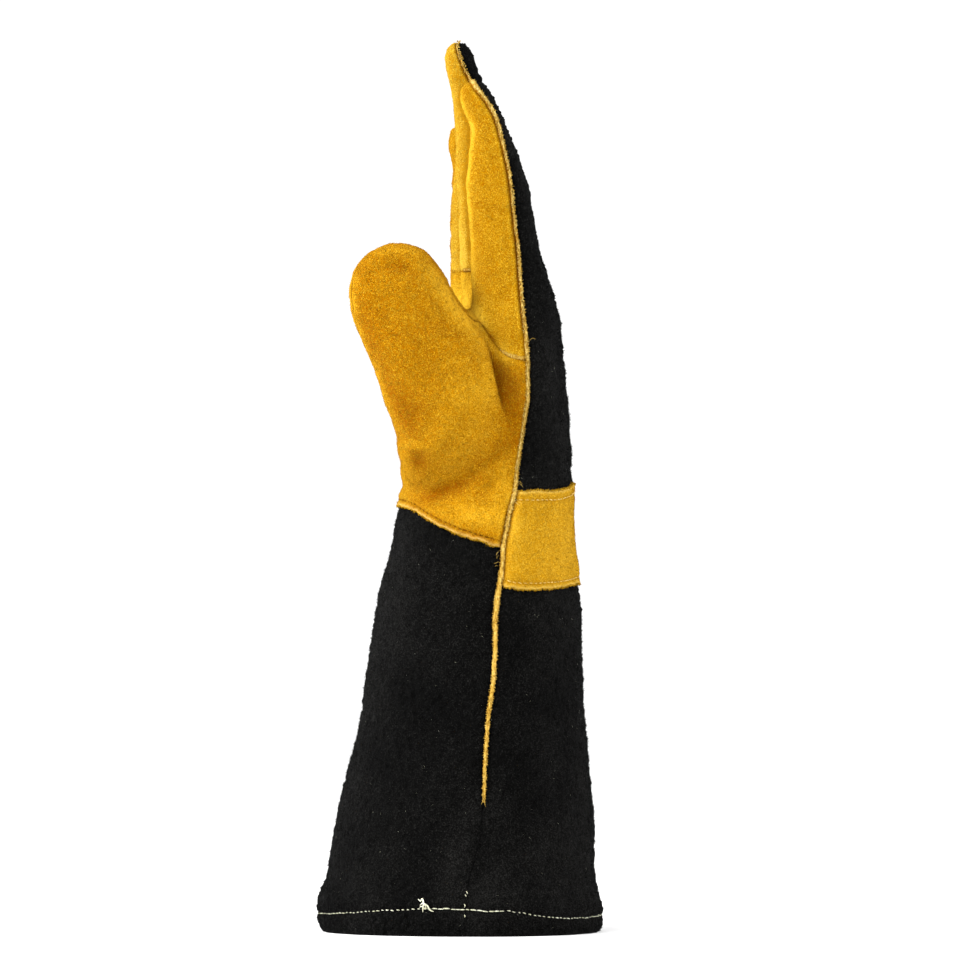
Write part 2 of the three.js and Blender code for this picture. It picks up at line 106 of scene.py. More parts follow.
# hem, cuff, wrist and palm: palm, seam and back are x, half is the half width,
# skew brings the palm forward on the little finger's side
body = tableOf("z palm seam back half skew square", [
    (0, -55.4, 8, 57.4, 64, 0, 2.1), (3, -57.6, 8.1, 58.9, 65.6, 0, 2.1), (7, -58.7, 8.3, 59.4, 66, 0, 2.1),
    (12, -58.2, 8.5, 58.4, 65.5, 0, 2.1), (16, -56.9, 8.7, 57.3, 64.2, 0, 2.1),
    (22, -54.2, 9, 56.4, 62.8, 0, 2.1), (34, -52.2, 9.5, 55.8, 61.4, 0, 2.1),
    (58, -48.1, 10.4, 53.9, 58.4, 0, 2.1), (83, -42.1, 11.5, 52, 55.2, 0, 2.1),
    (108, -37.9, 14, 51.5, 52.2, 0, 2.15), (132, -33.8, 15, 49.9, 49.4, 0, 2.2),
    (157, -28.1, 18.4, 47.1, 46.4, 0, 2.25), (170, -25.9, 21.2, 46.7, 45.2, 0, 2.3),
    (182, -23.9, 24.3, 46.3, 45, 0, 2.3), (194, -24, 25.4, 46, 46.4, 0.5, 2.35),
    (207, -20.5, 26.8, 45, 48.6, 2, 2.4), (219, -13, 28.8, 43.8, 50.6, 4, 2.4),
    (231, -6, 28.9, 42.9, 51.8, 6, 2.5), (244, -1.2, 28.5, 41.6, 52.3, 7, 2.6),
    (256, 0.5, 26.4, 40.2, 51.8, 5.5, 2.7), (266, 3, 26, 35.8, 50.2, 4.5, 2.8),
    (274, 8, 25.5, 31, 47, 3, 2.8),
], y=0)

fingerRows = {
    "index": [
        (240, 10.5, 28.6, 37.4, -37, 10.5), (246, 6.6, 27.9, 37.8, -37.6, 12),
        (252, 4.8, 27.2, 38, -38.1, 12.6), (258, 5.4, 26.6, 37.4, -38.3, 12.8),
        (267, 5.2, 25.8, 36, -38.5, 12.8), (279, 4.7, 24.9, 32.7, -38.7, 12.6),
        (294, 3.6, 23.1, 30.4, -39.1, 12.3), (306, 2.6, 21.9, 27.7, -39.5, 12.1),
        (318, 4, 19.8, 24, -39.9, 11.8), (331, 4.8, 16.5, 19.1, -40.4, 11.2),
        (337, 2.3, 14, 16.6, -40.7, 10.4), (342, 0.9, 10.8, 13.8, -40.9, 8.8),
        (346.5, 1.4, 7.2, 11.4, -41, 6.8), (349.3, 4.2, 5.6, 8.8, -41.1, 3.6),
    ],
    "middle": [
        (240, 4, 28.6, 40.4, -12.6, 12), (256, 1, 26.4, 40.6, -12.8, 13), (268, 0.6, 26, 37.4, -12.9, 13),
        (283, 0.4, 24.6, 32.1, -13, 12.7), (299, -0.5, 22.4, 29.2, -13.2, 12.5),
        (314, -1.6, 19.6, 25.2, -13.4, 12.3), (330, -1.1, 14.2, 19.2, -13.6, 11.9),
        (343, -2.9, 8.4, 13.3, -13.8, 11.1), (354, -5.2, 3, 7.8, -13.9, 9.4),
        (361, -5.8, 0.2, 5.6, -14, 7.4), (365, -4.2, -0.6, 3.8, -14, 5.2), (367, -1.8, 0, 2, -14, 2.8),
    ],
    "ring": [
        (240, 0.5, 28.6, 40.2, 12.6, 12), (256, -3, 26.4, 39.4, 12.8, 13), (268, -3.2, 26, 36.7, 12.9, 13),
        (283, -3.6, 24.3, 32.2, 13.1, 12.6), (299, -3.7, 21.4, 28, 13.3, 12.2),
        (314, -2.2, 17.4, 23.4, 13.6, 11.8), (328, -1.6, 12.2, 17.6, 13.9, 11.3),
        (340, -1.9, 7, 12.2, 14.1, 10.2), (349, -2, 3.6, 8, 14.2, 8), (354, -0.8, 2.4, 5.6, 14.3, 5.4),
        (356, 0.8, 2.4, 4, 14.3, 2.8),
    ],
    "little": [
        (240, 6, 28.6, 36.6, 37, 10.5), (251, -1, 27.3, 37, 38.2, 12.4),
        (263, -3.4, 26.1, 35.6, 38.6, 12.5), (279, -3.5, 23.8, 31.2, 38.9, 12),
        (294, -3.5, 19.6, 25.8, 39.4, 11.4), (306, -3.3, 14.8, 20.4, 39.9, 10.8),
        (316, -2.8, 9.8, 14.6, 40.4, 9.8), (325, -4.1, 5.8, 9.8, 40.7, 8.2), (330, -4.1, 2.8, 6, 40.9, 5.8),
        (333, -2.4, 0.4, 2.8, 41, 2.8),
    ],
}
fingers = [tableOf("z palm seam back y half", rows, skew=0, square=2.4)
           for rows in fingerRows.values()]

# the thumb, whose sewn edge runs at y = edge
thumb = tableOf("z palm back y half edge", [
    (172, -10, 8, -14, 8, -19), (184, -19.5, 11, -21.5, 13.5, -21), (194, -24, 15.5, -27.5, 17, -24),
    (206, -26, 20.5, -33.6, 18.8, -29), (219, -30.5, 18.4, -38.2, 18.4, -34),
    (228, -33.2, 16.4, -40.6, 17.8, -38), (238, -38.3, 13.6, -42.4, 17, -42),
    (247, -42.4, 9.6, -43.4, 16.2, -46), (256, -44.5, 2.6, -44, 15.2, -48.4),
    (264, -45, -2.5, -44.4, 13.8, -48.8), (271, -43.5, -6.4, -44.6, 12, -48),
    (276.6, -40.2, -10.2, -44.8, 9.6, -46.8), (280.4, -35.8, -14.2, -44.9, 7, -45.6),
    (283.1, -29, -21, -45, 3.4, -45),
], skew=0, square=2.4)
thumb["seam"] = (thumb["palm"] + thumb["back"]) / 2

# soft dents and creases: the side they are pressed into, place across and up, size along
# and across, slope, depth
dents = tableOf("side across z long wide slope depth", [
    (0, 5.5, 254, 7, 4, -1.2, -1.6), (0, 5, 190, 18, 3.2, 0.6, 2.4), (0, -3, 181.5, 9, 2.2, 0.3, 1.2),
    (0, -16, 193, 3.6, 4.6, 1.2, 1.4), (0, -22.6, 272, 7, 2.4, -0.25, 1.5), (0, -17, 214, 9, 4, -0.6, 1),
    (0, -8, 92, 34, 12, -1.1, 1.8), (0, 26, 46, 22, 10, 0.7, 1.4), (0, 22, 216, 15, 5, -4.6, 1.5),
    (0, 18, 252, 11, 6, -1, -1.4), (0, -5, 182.2, 11, 2.6, 0.38, 1.3), (0, -16.5, 194.6, 3, 3.4, 0.6, 1.3),
    (0, -17.5, 200.2, 6, 1.5, -0.2, -0.8), (0, 12.5, 183, 13, 3.4, 0.55, 0.9),
    (0, -12, 206, 6, 3, 2.2, 0.9), (0, -18, 200.6, 4.2, 0.9, 0.1, 0.5), (0, -12, 226, 14, 9, -1.3, 0.7),
    (0, -30, 250, 9, 6, -1.8, 0.6), (0, 13, 300, 2.6, 16, 0, 0.5), (0, 7.2, 262, 1.8, 2.6, 0, 0.8),
    (1, 4, 222, 26, 17, 0.2, 2.2), (1, 2, 184, 26, 3, 0.12, 1.2), (1, 12, 262, 30, 2.2, -0.08, 0.7),
    (1, 24, 244, 20, 3, 0.5, 0.8), (1, -38, 304, 8, 1.8, 0.1, 0.5), (1, -13, 296, 9, 2, 0.1, 0.7),
    (1, -13, 322, 9, 1.8, -0.1, 0.6), (1, 13, 294, 9, 2, -0.1, 0.7), (1, 13, 318, 9, 1.8, 0.1, 0.6),
    (1, 39, 288, 8, 1.8, -0.15, 0.6), (1, 39, 306, 7, 1.6, 0.1, 0.5), (1, 8, 96, 30, 14, 0.8, 0.7),
    (2, 0, 144, 60, 5, 0, 0.9), (2, 6, 110, 22, 14, -0.7, 0.9), (2, 14, 192, 22, 3.5, 0.15, 1),
    (2, -12, 206, 18, 3, -0.2, 0.7), (2, 25, 232, 4, 24, 0, 0.8), (2, 0, 236, 4, 24, 0, 0.9),
    (2, -25, 234, 4, 24, 0, 0.8), (2, 18, 38, 26, 10, 0.4, 1.3), (3, 8, 186, 22, 3.5, -0.2, 1.2),
    (3, -4, 214, 14, 8, 0.5, 1), (3, 6, 98, 26, 12, 0.9, 1.6), (3, 10, 296, 9, 1.8, 0.15, 0.5),
])
# places that are darker or lighter, on the same sides: partly patches of the nap, partly painted shade and
# painted light where the light falls
tones = tableOf("side across z long wide slope depth", [
    (0, -18, 213, 7, 6, -0.6, -0.11), (0, -16.5, 195, 3.4, 4, 0.6, -0.3),
    (0, -5, 181.6, 11, 2.6, 0.38, -0.2), (0, -12, 179.6, 5, 2.4, -0.2, -0.12),
    (0, 12.8, 197, 12, 4, 0.9, -0.08), (0, 22, 206, 10, 5, -2.5, -0.13), (0, 18, 223, 10, 4.5, -1.6, -0.14),
    (0, 3, 264, 12, 4, -1.6, 0.16), (0, 20, 258, 12, 8, -0.6, 0.07), (0, 21, 236, 6, 3, -0.3, 0.10),
    (0, -17.5, 200, 6, 1.3, -0.2, 0.22), (0, -3, 263, 15, 5, -1.5, 0.16), (0, 5.5, 254, 6, 4, -1.2, 0.36),
    (0, 13.6, 244.2, 4.5, 0.8, -1.2, -0.55), (0, 7.2, 262, 1.8, 2.6, 0, -0.16),
    (0, 17.5, 238.5, 6.5, 3.2, -0.6, 0.34), (0, 9.5, 221, 8, 5, -1.2, 0.20),
    (0, -5, 172, 14, 4, -0.3, 0.12), (0, -8.8, 179.6, 3.4, 1.6, 0.3, -0.10),
    (0, 2.2, 185.2, 4, 1.5, 0.4, -0.15), (0, -2, 191, 9, 4, 0.5, 0.12),
    (0, -15.5, 195, 3.2, 3.2, 0.8, -0.12), (0, 22, 163, 3.5, 16, 0, 0.12), (0, 45.5, 163, 5, 16, 0, 0.30),
    (0, 2.4, 284, 0.7, 13, 0, 0.24), (0, -1.2, 286, 0.6, 12, 0, 0.20), (1, -13, 274, 9, 17, 0, 0.30),
    (0, 20, 183, 2.4, 14, 0.2, 0.10), (0, -21.5, 187, 2.6, 11, 0, 0.10), (0, 8.6, 171.6, 15, 5, -0.3, 0.27),
    (0, -22.8, 272, 7, 2.4, -0.25, -0.15), (0, -36.5, 237, 21, 6, -2.9, -0.27),
    (0, 1, 257, 16, 4.6, -1.4, 0.46), (0, -23, 213, 9, 6, -2.9, -0.15), (0, -8, 268, 12, 5, -1.2, 0.18),
    (0, 2.5, 214, 10, 28, 0, 0.11), (0, -10, 203, 7, 13, 0, 0.10), (0, 15.5, 180, 4.5, 7, 0, 0.24),
    (0, -26, 280, 12, 3, 0, 0.16), (0, -30, 226, 12, 3, -3.2, -0.08), (0, -8, 264, 14, 3.6, -1.6, 0.09),
    (0, 10, 240, 14, 3, -2.2, 0.08), (0, 4, 226, 11, 10, 0.2, 0.04), (1, 6, 224, 26, 15, 0.3, -0.05),
    (1, 22, 190, 12, 7, -0.4, 0.06), (0, -3.5, 27, 7, 13, -0.4, 0.22), (0, 14, 24, 7, 13, -0.3, 0.12),
    (2, 6, 215, 20, 14, 0.3, 0.06), (2, -10, 70, 24, 20, 0.4, -0.05), (1, -10, 60, 22, 18, -0.5, 0.05),
])
dentSides = [
    {"push": (0, 1, 0), "across": 0},    # thumb side
    {"push": (1, 0, 0), "across": 1},    # palm
    {"push": (-1, 0, 0), "across": 1},   # back of the hand
    {"push": (0, -1, 0), "across": 0},   # little finger's side
]

# the fold where the thumb's leather lies over the wing: the x of its line, how deep the
# leather falls behind it (below zero it stands out), and how wide the hollow is
fold = tableOf("z x depth wide", [
    (206, 21.0, 0.0, 8.0), (211, 19.4, 0.3, 8.5), (216, 17.6, 1.2, 8.5), (222, 15.6, 2.8, 7.5),
    (227, 14.0, 3.9, 6.5), (231, 12.9, 3.8, 5.5), (234.5, 12.4, 2.2, 5.5), (238, 11.9, 0.9, 6.0),
    (242, 11.2, -0.4, 7.0), (247, 9.8, -1.2, 7.0), (254, 5.4, -1.4, 6.0), (262, 0.0, 0.0, 6.0),
])
# the fold's edge: tone and near are painted shade in its hollow, the ridge's tone is a painted highlight,
# and the shade on its wall is painted shade
foldEdge = {
    "y": -15,            # it ends there, towards the little finger
    "sharp": 0.5,
    "fine": 2.8,         # how far beside it the skin is finer
    "ridge": {"height": 0.8, "at": -2.4, "wide": 2.2, "tone": 0.2},
    "lip": {"out": 1.3, "at": -0.8, "wide": 1.5, "side": 0.4},
    "under": {"in": 0.5, "at": 1.0, "wide": 1.2, "side": -0.4},
    "wall": {"shade": 0.9, "at": 0.5, "wide": 0.7},
    "tone": -0.3,
    "near": {"tone": -0.3, "wide": 2.2},
}
# painted shade in the dents, for each millimetre of depth; the nap is also pressed there
paintedDentShade = -0.03         # for each millimetre of a dent
# shade in the gaps between the fingers and on the middle finger behind the index finger, and
# light on the edge of the index finger and on the rim of the hand: from and to are heights
shades = {
    "gap": {"tone": -0.3, "wide": 6.0, "from": (262, 285)},
    "behind": {"tone": -0.95, "at": 0.4, "wide": 1.4, "facing": 0.2, "from": (266, 284), "to": (342, 350),
               "least": 0.45, "more": 0.75, "growing": (296, 330)},
    "lit": {"tone": 0.14, "at": 0.8, "wide": 1.2, "y": -28, "from": (276, 296), "to": (340, 346)},
    "rim": {"tone": 0.22, "facing": (0.72, 0.95), "y": -32, "from": (200, 226)},
}

form = {
    "foot": 8,           # how far the cuff runs on below the floor until it is cut there
    "step": 1.5,         # most between two rings
    "points": 160,       # points in a ring
    "slim": 0.9,         # taken off each side of a finger, so that the fingers stand apart
    "voxel": 1.45,
    "smoothing": 5,
    "wobble": 0.35,      # soft unevenness of the whole hide
    "wobbleWaves": (26, 60, 30, 11),     # shortest, longest, how many and the seed
    "still": 14.0,       # height below which it fades out
    "ripples": 0.12,     # smaller unevenness
    "rippleWaves": (7, 15, 40, 12),
}


def ringsOf(table, slim, foot=0):
    # rings of points through a table's rows
    heights = [table["z"][0] - foot]
    for low, high in zip(np.append(heights, table["z"][:-1]), table["z"]):
        steps = max(int(math.ceil((high - low) / form["step"])), 1)
        heights.extend(low + (high - low) * np.arange(1, steps + 1) / steps)
    heights = np.unique(np.round(heights, 4))
    row = {name: curveAt(table["z"], table[name], heights)[:, None] for name in table}
    angle = np.arange(form["points"]) * 2 * math.pi / form["points"]
    across, deep = -np.cos(angle), np.sin(angle)
    power = 2 / row["square"]
    side = np.sign(across) * np.abs(across) ** power
    depth = np.sign(deep) * np.abs(deep) ** power
    reach = np.where(deep > 0, row["back"] - row["seam"], row["seam"] - row["palm"])
    half = np.maximum(row["half"] - slim, row["half"] / 2)
    x = row["seam"] + depth * reach + np.minimum(depth, 0) * row["skew"] * side
    y = row["y"] + half * side
    return np.stack([x, y, np.broadcast_to(heights[:, None], x.shape)], 2)


def tubeFaces(levels, count):
    # triangles between rings, with a fan at each end round an extra last point
    level, i = np.meshgrid(np.arange(levels - 1), np.arange(count), indexing="ij")
    a = (level * count + i).ravel()
    b = (level * count + (i + 1) % count).ravel()
    walls = np.concatenate([np.stack([a, b, b + count], 1), np.stack([a, b + count, a + count], 1)])
    i = np.arange(count)
    after = (i + 1) % count
    hub = levels * count
    low = np.stack([np.full(count, hub), after, i], 1)
    top = (levels - 1) * count
    high = np.stack([np.full(count, hub + 1), top + i, top + after], 1)
    return np.concatenate([walls, low, high])


def tubeOf(rings):
    levels, count = rings.shape[:2]
    points = np.concatenate([rings.reshape(-1, 3), [rings[0].mean(0), rings[-1].mean(0)]])
    return points, tubeFaces(levels, count)


def joined(parts):
    points, faces, total = [], [], 0
    for partPoints, partFaces in parts:
        points.append(partPoints)
        faces.append(partFaces + total)
        total += len(partPoints)
    return np.concatenate(points), np.concatenate(faces)


def linked(name, data):
    made = bpy.data.objects.new(name, data)
    bpy.context.collection.objects.link(made)
    return made


def meshOf(name, points, faces):
    mesh = bpy.data.meshes.new(name)
    mesh.vertices.add(len(points))
    mesh.vertices.foreach_set("co", (points * mm).astype(np.float32).ravel())
    mesh.loops.add(faces.size)
    mesh.loops.foreach_set("vertex_index", faces.astype(np.int32).ravel())
    mesh.polygons.add(len(faces))
    mesh.polygons.foreach_set("loop_start", np.arange(0, faces.size, 3, dtype=np.int32))
    mesh.polygons.foreach_set("use_smooth", np.ones(len(faces), bool))
    mesh.update(calc_edges=True)
    return mesh


def oneSkin(points, faces):
    # the forms melted into one closed skin of even triangles
    made = linked("forms", meshOf("forms", points, faces))
    melt = made.modifiers.new("melt", "REMESH")
    melt.mode = "VOXEL"
    melt.voxel_size = form["voxel"] * mm
    solid = made.evaluated_get(bpy.context.evaluated_depsgraph_get())
    mesh = solid.to_mesh()
    place = np.empty(len(mesh.vertices) * 3)
    mesh.vertices.foreach_get("co", place)
    corners = np.empty(len(mesh.loops), int)
    mesh.loops.foreach_get("vertex_index", corners)
    place = place.reshape(-1, 3) / mm
    quads = corners.reshape(-1, 4)
    solid.to_mesh_clear()
    bpy.data.objects.remove(made)
    first = np.linalg.norm(place[quads[:, 0]] - place[quads[:, 2]], axis=1)
    second = np.linalg.norm(place[quads[:, 1]] - place[quads[:, 3]], axis=1)
    short = (first <= second)[:, None]
    halves = [np.where(short, quads[:, [0, 1, 2]], quads[:, [0, 1, 3]]),
              np.where(short, quads[:, [0, 2, 3]], quads[:, [1, 2, 3]])]
    return place, np.concatenate(halves)


def runsOf(faces):
    # the sides of all triangles, each from its first corner to its second
    return np.concatenate([faces[:, [0, 1]], faces[:, [1, 2]], faces[:, [2, 0]]])


def edgesOf(faces):
    pairs = np.sort(runsOf(faces), 1)
    size = faces.max() + 1
    keys = np.unique(pairs[:, 0] * size + pairs[:, 1])
    return np.stack([keys // size, keys % size], 1)


def normalsOf(points, faces):
    a, b, c = (points[faces[:, k]] for k in range(3))
    across = np.cross(b - a, c - a)
    total = np.zeros_like(points)
    for k in range(3):
        for axis in range(3):
            total[:, axis] += np.bincount(faces[:, k], across[:, axis], len(points))
    return unit(total)


def relaxed(points, faces, rounds):
    # each point goes halfway to the mean of its neighbours, round after round
    a, b = edgesOf(faces).T
    size = len(points)
    count = np.bincount(a, minlength=size) + np.bincount(b, minlength=size)
    for _ in range(rounds):
        mean = np.stack([np.bincount(a, points[b, k], size) + np.bincount(b, points[a, k], size)
                         for k in range(3)], 1) / count[:, None]
        points = points + 0.5 * (mean - points)
    return points


def besideFold(beside, name):
    return bell(beside - foldEdge[name]["at"], foldEdge[name]["wide"])


def foldAt(place):
    # places beside the fold's line, how deep its hollow and how high its ridge is there, and
    # how strong the fold is at their height
    row = {name: np.interp(place[:, 2], fold["z"], fold[name]) for name in fold}
    beside = place[:, 0] - row["x"]
    hollow = smoothStep(beside, -foldEdge["sharp"], foldEdge["sharp"]) * (place[:, 1] < foldEdge["y"])
    hollow = hollow * bell(np.maximum(beside, 0), row["wide"])
    strength = np.maximum(row["depth"], 0) / fold["depth"].max()
    ridge = besideFold(beside, "ridge") * foldEdge["ridge"]["height"] * strength
    return beside, hollow * row["depth"], ridge, strength


def spotsOf(table, place, normal):
    # each row's push and how much of it every point gets
    for i, number in enumerate(table["side"].astype(int)):
        push = np.array(dentSides[number]["push"], float)
        row = {name: table[name][i] for name in table}
        right = place[:, dentSides[number]["across"]] - row["across"]
        up = place[:, 2] - row["z"]
        turn = math.hypot(1, row["slope"])
        along = (right + row["slope"] * up) / turn
        across = (up - row["slope"] * right) / turn
        amount = row["depth"] * np.exp(-(along / row["long"]) ** 2 - (across / row["wide"]) ** 2)
        yield push, amount * np.clip(-(normal @ push), 0, 1)


def toneAndPaintedLightOf(place, normal):
    # lighter and darker places: patches of the nap, painted shade in the dents, the fold's hollow and
    # between the fingers, and painted light on the fold's ridge, the index finger's edge and the hand's rim
    x, y, z = place.T
    tone = np.zeros(len(place))
    for _, depth in spotsOf(dents, place, normal):
        tone += depth * paintedDentShade
    for _, amount in spotsOf(tones, place, normal):
        tone += amount
    beside, hollow, ridge, _ = foldAt(place)
    # painted shade in the fold's hollow and a painted highlight on its ridge
    near = foldEdge["near"]
    folded = hollow * (foldEdge["tone"] + near["tone"] * bell(beside, near["wide"]))
    tone += folded * (hollow > 0) / fold["depth"].max()
    tone += ridge * foldEdge["ridge"]["tone"] * (y < foldEdge["y"])
    # painted shade between the fingers and behind the index finger, painted light on its edge and on the
    # hand's rim
    fromIndex = x - curveAt(fingers[0]["z"], fingers[0]["palm"], z)
    fromGap = y - np.clip(np.round(y / fingerPitch), -1, 1) * fingerPitch
    onMiddle = np.abs(y + fingerPitch / 2) < fingerPitch / 2
    behind, rim = shades["behind"], shades["rim"]
    where = {
        "gap": bell(fromGap, shades["gap"]["wide"]),
        "behind": (bell(fromIndex - behind["at"], behind["wide"])
                   * onMiddle * (normal[:, 1] < behind["facing"])
                   * (behind["least"] + behind["more"] * smoothStep(z, *behind["growing"]))),
        "lit": bell(fromIndex - shades["lit"]["at"], shades["lit"]["wide"]) * (y < shades["lit"]["y"]),
        "rim": smoothStep(-normal[:, 0], *rim["facing"]) * (y < rim["y"]),
    }
    for name, amount in where.items():
        amount = amount * smoothStep(z, *shades[name]["from"])
        if "to" in shades[name]:
            amount = amount * (1 - smoothStep(z, *shades[name]["to"]))
        tone += shades[name]["tone"] * amount
    return tone


def dented(place, normal):
    # how far the dents and the unevenness of the hide move each point
    shift = np.zeros_like(place)
    for push, depth in spotsOf(dents, place, normal):
        shift += push * depth[:, None]
    beside, hollow, ridge, strength = foldAt(place)
    facing = smoothStep(-normal[:, 1], 0.0, 0.5)
    shift[:, 1] += (hollow - ridge) * facing
    lip, under = foldEdge["lip"], foldEdge["under"]
    over = lip["out"] * besideFold(beside, "lip") * (beside < lip["side"])
    over -= under["in"] * besideFold(beside, "under") * (beside > under["side"])
    shift[:, 0] += over * (strength * facing) * (place[:, 1] < foldEdge["y"])
    slow = ripple(place, *form["wobbleWaves"]) * form["wobble"]
    slow *= smoothStep(place[:, 2], 0, form["still"])
    quick = ripple(place, *form["rippleWaves"]) * form["ripples"]
    return shift + normal * (slow + quick)[:, None]


# Seams and edges

fingerPitch = 25.7       # between finger roots
crotchWidth = 4.0        # over which the side seam passes from finger to finger
fingerSeam = 272.3       # seam at the base of the two middle fingers
backJoint = 160.0        # joint of the cuff and the back, under the wrist band
seamGap = 0.06
thumbSkin = 1.5          # how far from the thumb's form its leather ends
seamDrift = tableOf("z shift", [
    (0, -5.6), (12, -5.6), (23, -4.9), (36, -1.8), (52, -0.1), (92, 0), (106, 0.5), (118, 0.5),
    (130, 0.1), (138, 0.2), (146, 0.5), (152, 0.2), (158, -0.6), (166, -0.8), (176, -1.1), (186, -1.4),
    (195, -1.0), (206, -0.4), (216, -0.7), (238, -0.8), (250, -0.5), (320, -0.3), (360, 0),
])
palmEdge = tableOf("x z", [(-25.2, 176), (-19.4, 174.5), (-11.6, 169.6), (2.1, 163.4), (16.9, 158.9)])
wingEdge = tableOf("x z", [
    (2, 249), (10.5, 246.2), (14.7, 242.2), (17.4, 239.4), (21.9, 236.9), (27.2, 235.7),
])
bandTop = tableOf("x z", [(15, 181.5), (35, 181.3), (41, 181.6), (45, 183.2), (48, 184.8), (52, 185.4)])
bandBottom = tableOf("x z", [(15, 144.2), (24, 141.6), (42, 142.2), (52, 144.6)])
hemRow = tableOf("x z", [
    (-57.3, 7.8), (-49.1, 8.7), (-28.5, 10.7), (-12, 11.5), (4.5, 11.1),
    (12.8, 10.3), (21, 10.6), (33.4, 8.3), (45.8, 7.0), (56.5, 6.8),
])
welt = {
    "end": 54.0,
    "shape": tableOf("z half rise", [        # half width, and how far it stands out of the seam
        (54, 0.3, -0.2), (58, 0.5, 0.3), (66, 0.58, 0.5), (92, 0.66, 0.5), (120, 0.76, 0.5),
        (138, 0.94, 0.4), (150, 0.86, 0.35), (170, 0.7, 0.3), (200, 0.58, 0.25), (240, 0.6, 0.25),
        (275, 0.44, 0.2), (300, 0.38, 0.15), (320, 0.4, 0.2), (333, 0.58, 0.25), (345, 0.66, 0.25),
        (351, 0.42, 0.05), (400, 0.4, 0),
    ]),
    "room": tableOf("z half", [
        (47, 0.05), (55, 0.5), (62, 0.8), (120, 0.8), (140, 0.92), (170, 0.76), (200, 0.66), (400, 0.56),
    ]),
    # beside the welt on the palm's side: the gap, and how far the leather dips, which also sets how strong
    # the painted shade in the groove is
    "groove": tableOf("z gap dip", [
        (140, 0.18, 0.8), (150, 0.3, 0.8), (158, 0.42, 0.9), (172, 0.42, 0.9), (183, 0.2, 0.3),
        (192, 0.15, 0.05), (232, 0.15, 0.05), (240, 0.34, 0.6), (252, 0.46, 0.9), (262, 0.52, 1.0),
        (340, 0.52, 1.0), (352, 0.4, 0.8), (400, 0.3, 0.6),
    ]),
    "gap": 0.18,         # on the back's side
    "root": 2.4,         # how deep it is sewn in
    "shoulder": 0.9,     # how far down the bottom of the groove beside it lies
    "light": [(54, 0.0), (280, 0.02), (335, 0.12), (360, 0.12), (400, 0.1)],     # paler towards the tips
    "step": 0.45,
    "wander": 0.12,
    "fray": 0.17,
}
rawEdge = {"waves": (1.2, 9.0, 40, 21), "depth": 0.22}     # unevenness of the cut edges
snap = 0.3               # corners move onto a cut within this share of an edge
rimBulge = 0.3           # how far a rim is rounded out, as a share of the thickness
thumbHalf = (2, 26)      # towards the thumb, where the values of the seam in the photo come in


def along(table, at):
    return curveAt(table["x"], table["z"], at)


def seamAt(y, z):
    # x of the side seam
    place = y / fingerPitch + 1.5
    low = np.clip(np.floor(place), 0, 2).astype(int)
    half = crotchWidth / 2 / fingerPitch
    share = smoothStep(place - low, 0.5 - half, 0.5 + half)
    columns = np.stack([curveAt(finger["z"], finger["seam"], z) for finger in fingers])
    every = np.arange(len(z))
    mixed = columns[low, every] * (1 - share) + columns[low + 1, every] * share
    return np.where(z < fingers[0]["z"][0], curveAt(body["z"], body["seam"], z), mixed)


def gapAt(y, z):
    # how much wider the seam's gap is on the palm's side
    wide = np.interp(z, welt["groove"]["z"], welt["groove"]["gap"]) - welt["gap"]
    return wide * smoothStep(-y, *thumbHalf)


def distancesAt(place):
    # distances of points on the skin from the seams and edges, above zero on the named side
    x, y, z = place.T
    drift = np.interp(z, seamDrift["z"], seamDrift["shift"])
    seam = seamAt(y, z) + drift * smoothStep(-y, *thumbHalf)
    slope = seamAt(y, z + 0.5) - seamAt(y, z - 0.5)
    toBack = (x - seam) / np.hypot(1, slope)
    room = np.interp(z, welt["room"]["z"], welt["room"]["half"]) + welt["gap"]
    wider = gapAt(y, z)
    cutEdge = ripple(place, *rawEdge["waves"]) * rawEdge["depth"]
    joint = z - along(palmEdge, x)
    fromBottom = z - along(bandBottom, x)
    fromTop = along(bandTop, x) - z
    wing = along(wingEdge, x) - z
    edge = np.interp(z, thumb["z"], thumb["edge"]) - y
    row = {name: curveAt(thumb["z"], thumb[name], z) for name in thumb}
    wide = (row["back"] - row["palm"]) / 2
    power = row["square"]
    spread = (np.abs(x - row["seam"]) / wide) ** power + (np.abs(y - row["y"]) / row["half"]) ** power
    onThumb = thumbSkin - (spread ** (1 / power) - 1) * np.minimum(wide, row["half"])
    onThumb = onThumb - np.maximum(thumb["z"][0] - z, 0)
    front = np.minimum(fingerPitch - np.abs(y), z - fingerSeam)
    return {
        "toBack": toBack,
        "palmSide": -toBack - room - wider,
        "backSide": toBack - room,
        "joint": joint,
        "overJoint": joint + cutEdge,
        "underJoint": lap["tuck"] - joint,
        "wing": wing,
        "edge": edge,
        "thumb": onThumb,
        "front": front,
        "wingOrThumb": np.maximum(wing, onThumb) - seamGap,
        "outerSide": edge - seamGap,
        "innerSide": -edge - seamGap,
        "onThumb": onThumb - seamGap,
        "offThumb": -onThumb - seamGap,
        "palmZone": np.maximum(-edge, -wing) - seamGap,
        "onFront": front - seamGap,
        "offFront": -front - seamGap,
        "underBack": backJoint - z - seamGap,
        "overBack": z - backJoint - seamGap,
        "fromBottom": fromBottom,
        "fromTop": fromTop,
        "belowBand": fromBottom + cutEdge,
        "aboveBand": fromTop + cutEdge,
        "floor": z,
        "hemRow": z - along(hemRow, x),
    }


def between(skin, first, second, share):
    # every column of the skin, on the way from the first points to the second
    made = {}
    for name, column in skin.items():
        if name != "faces":
            weight = share if column.ndim == 1 else share[:, None]
            made[name] = column[first] * (1 - weight) + column[second] * weight
    return made


def rolled(faces, shift):
    return np.take_along_axis(faces, (shift[:, None] + np.arange(3)) % 3, 1)


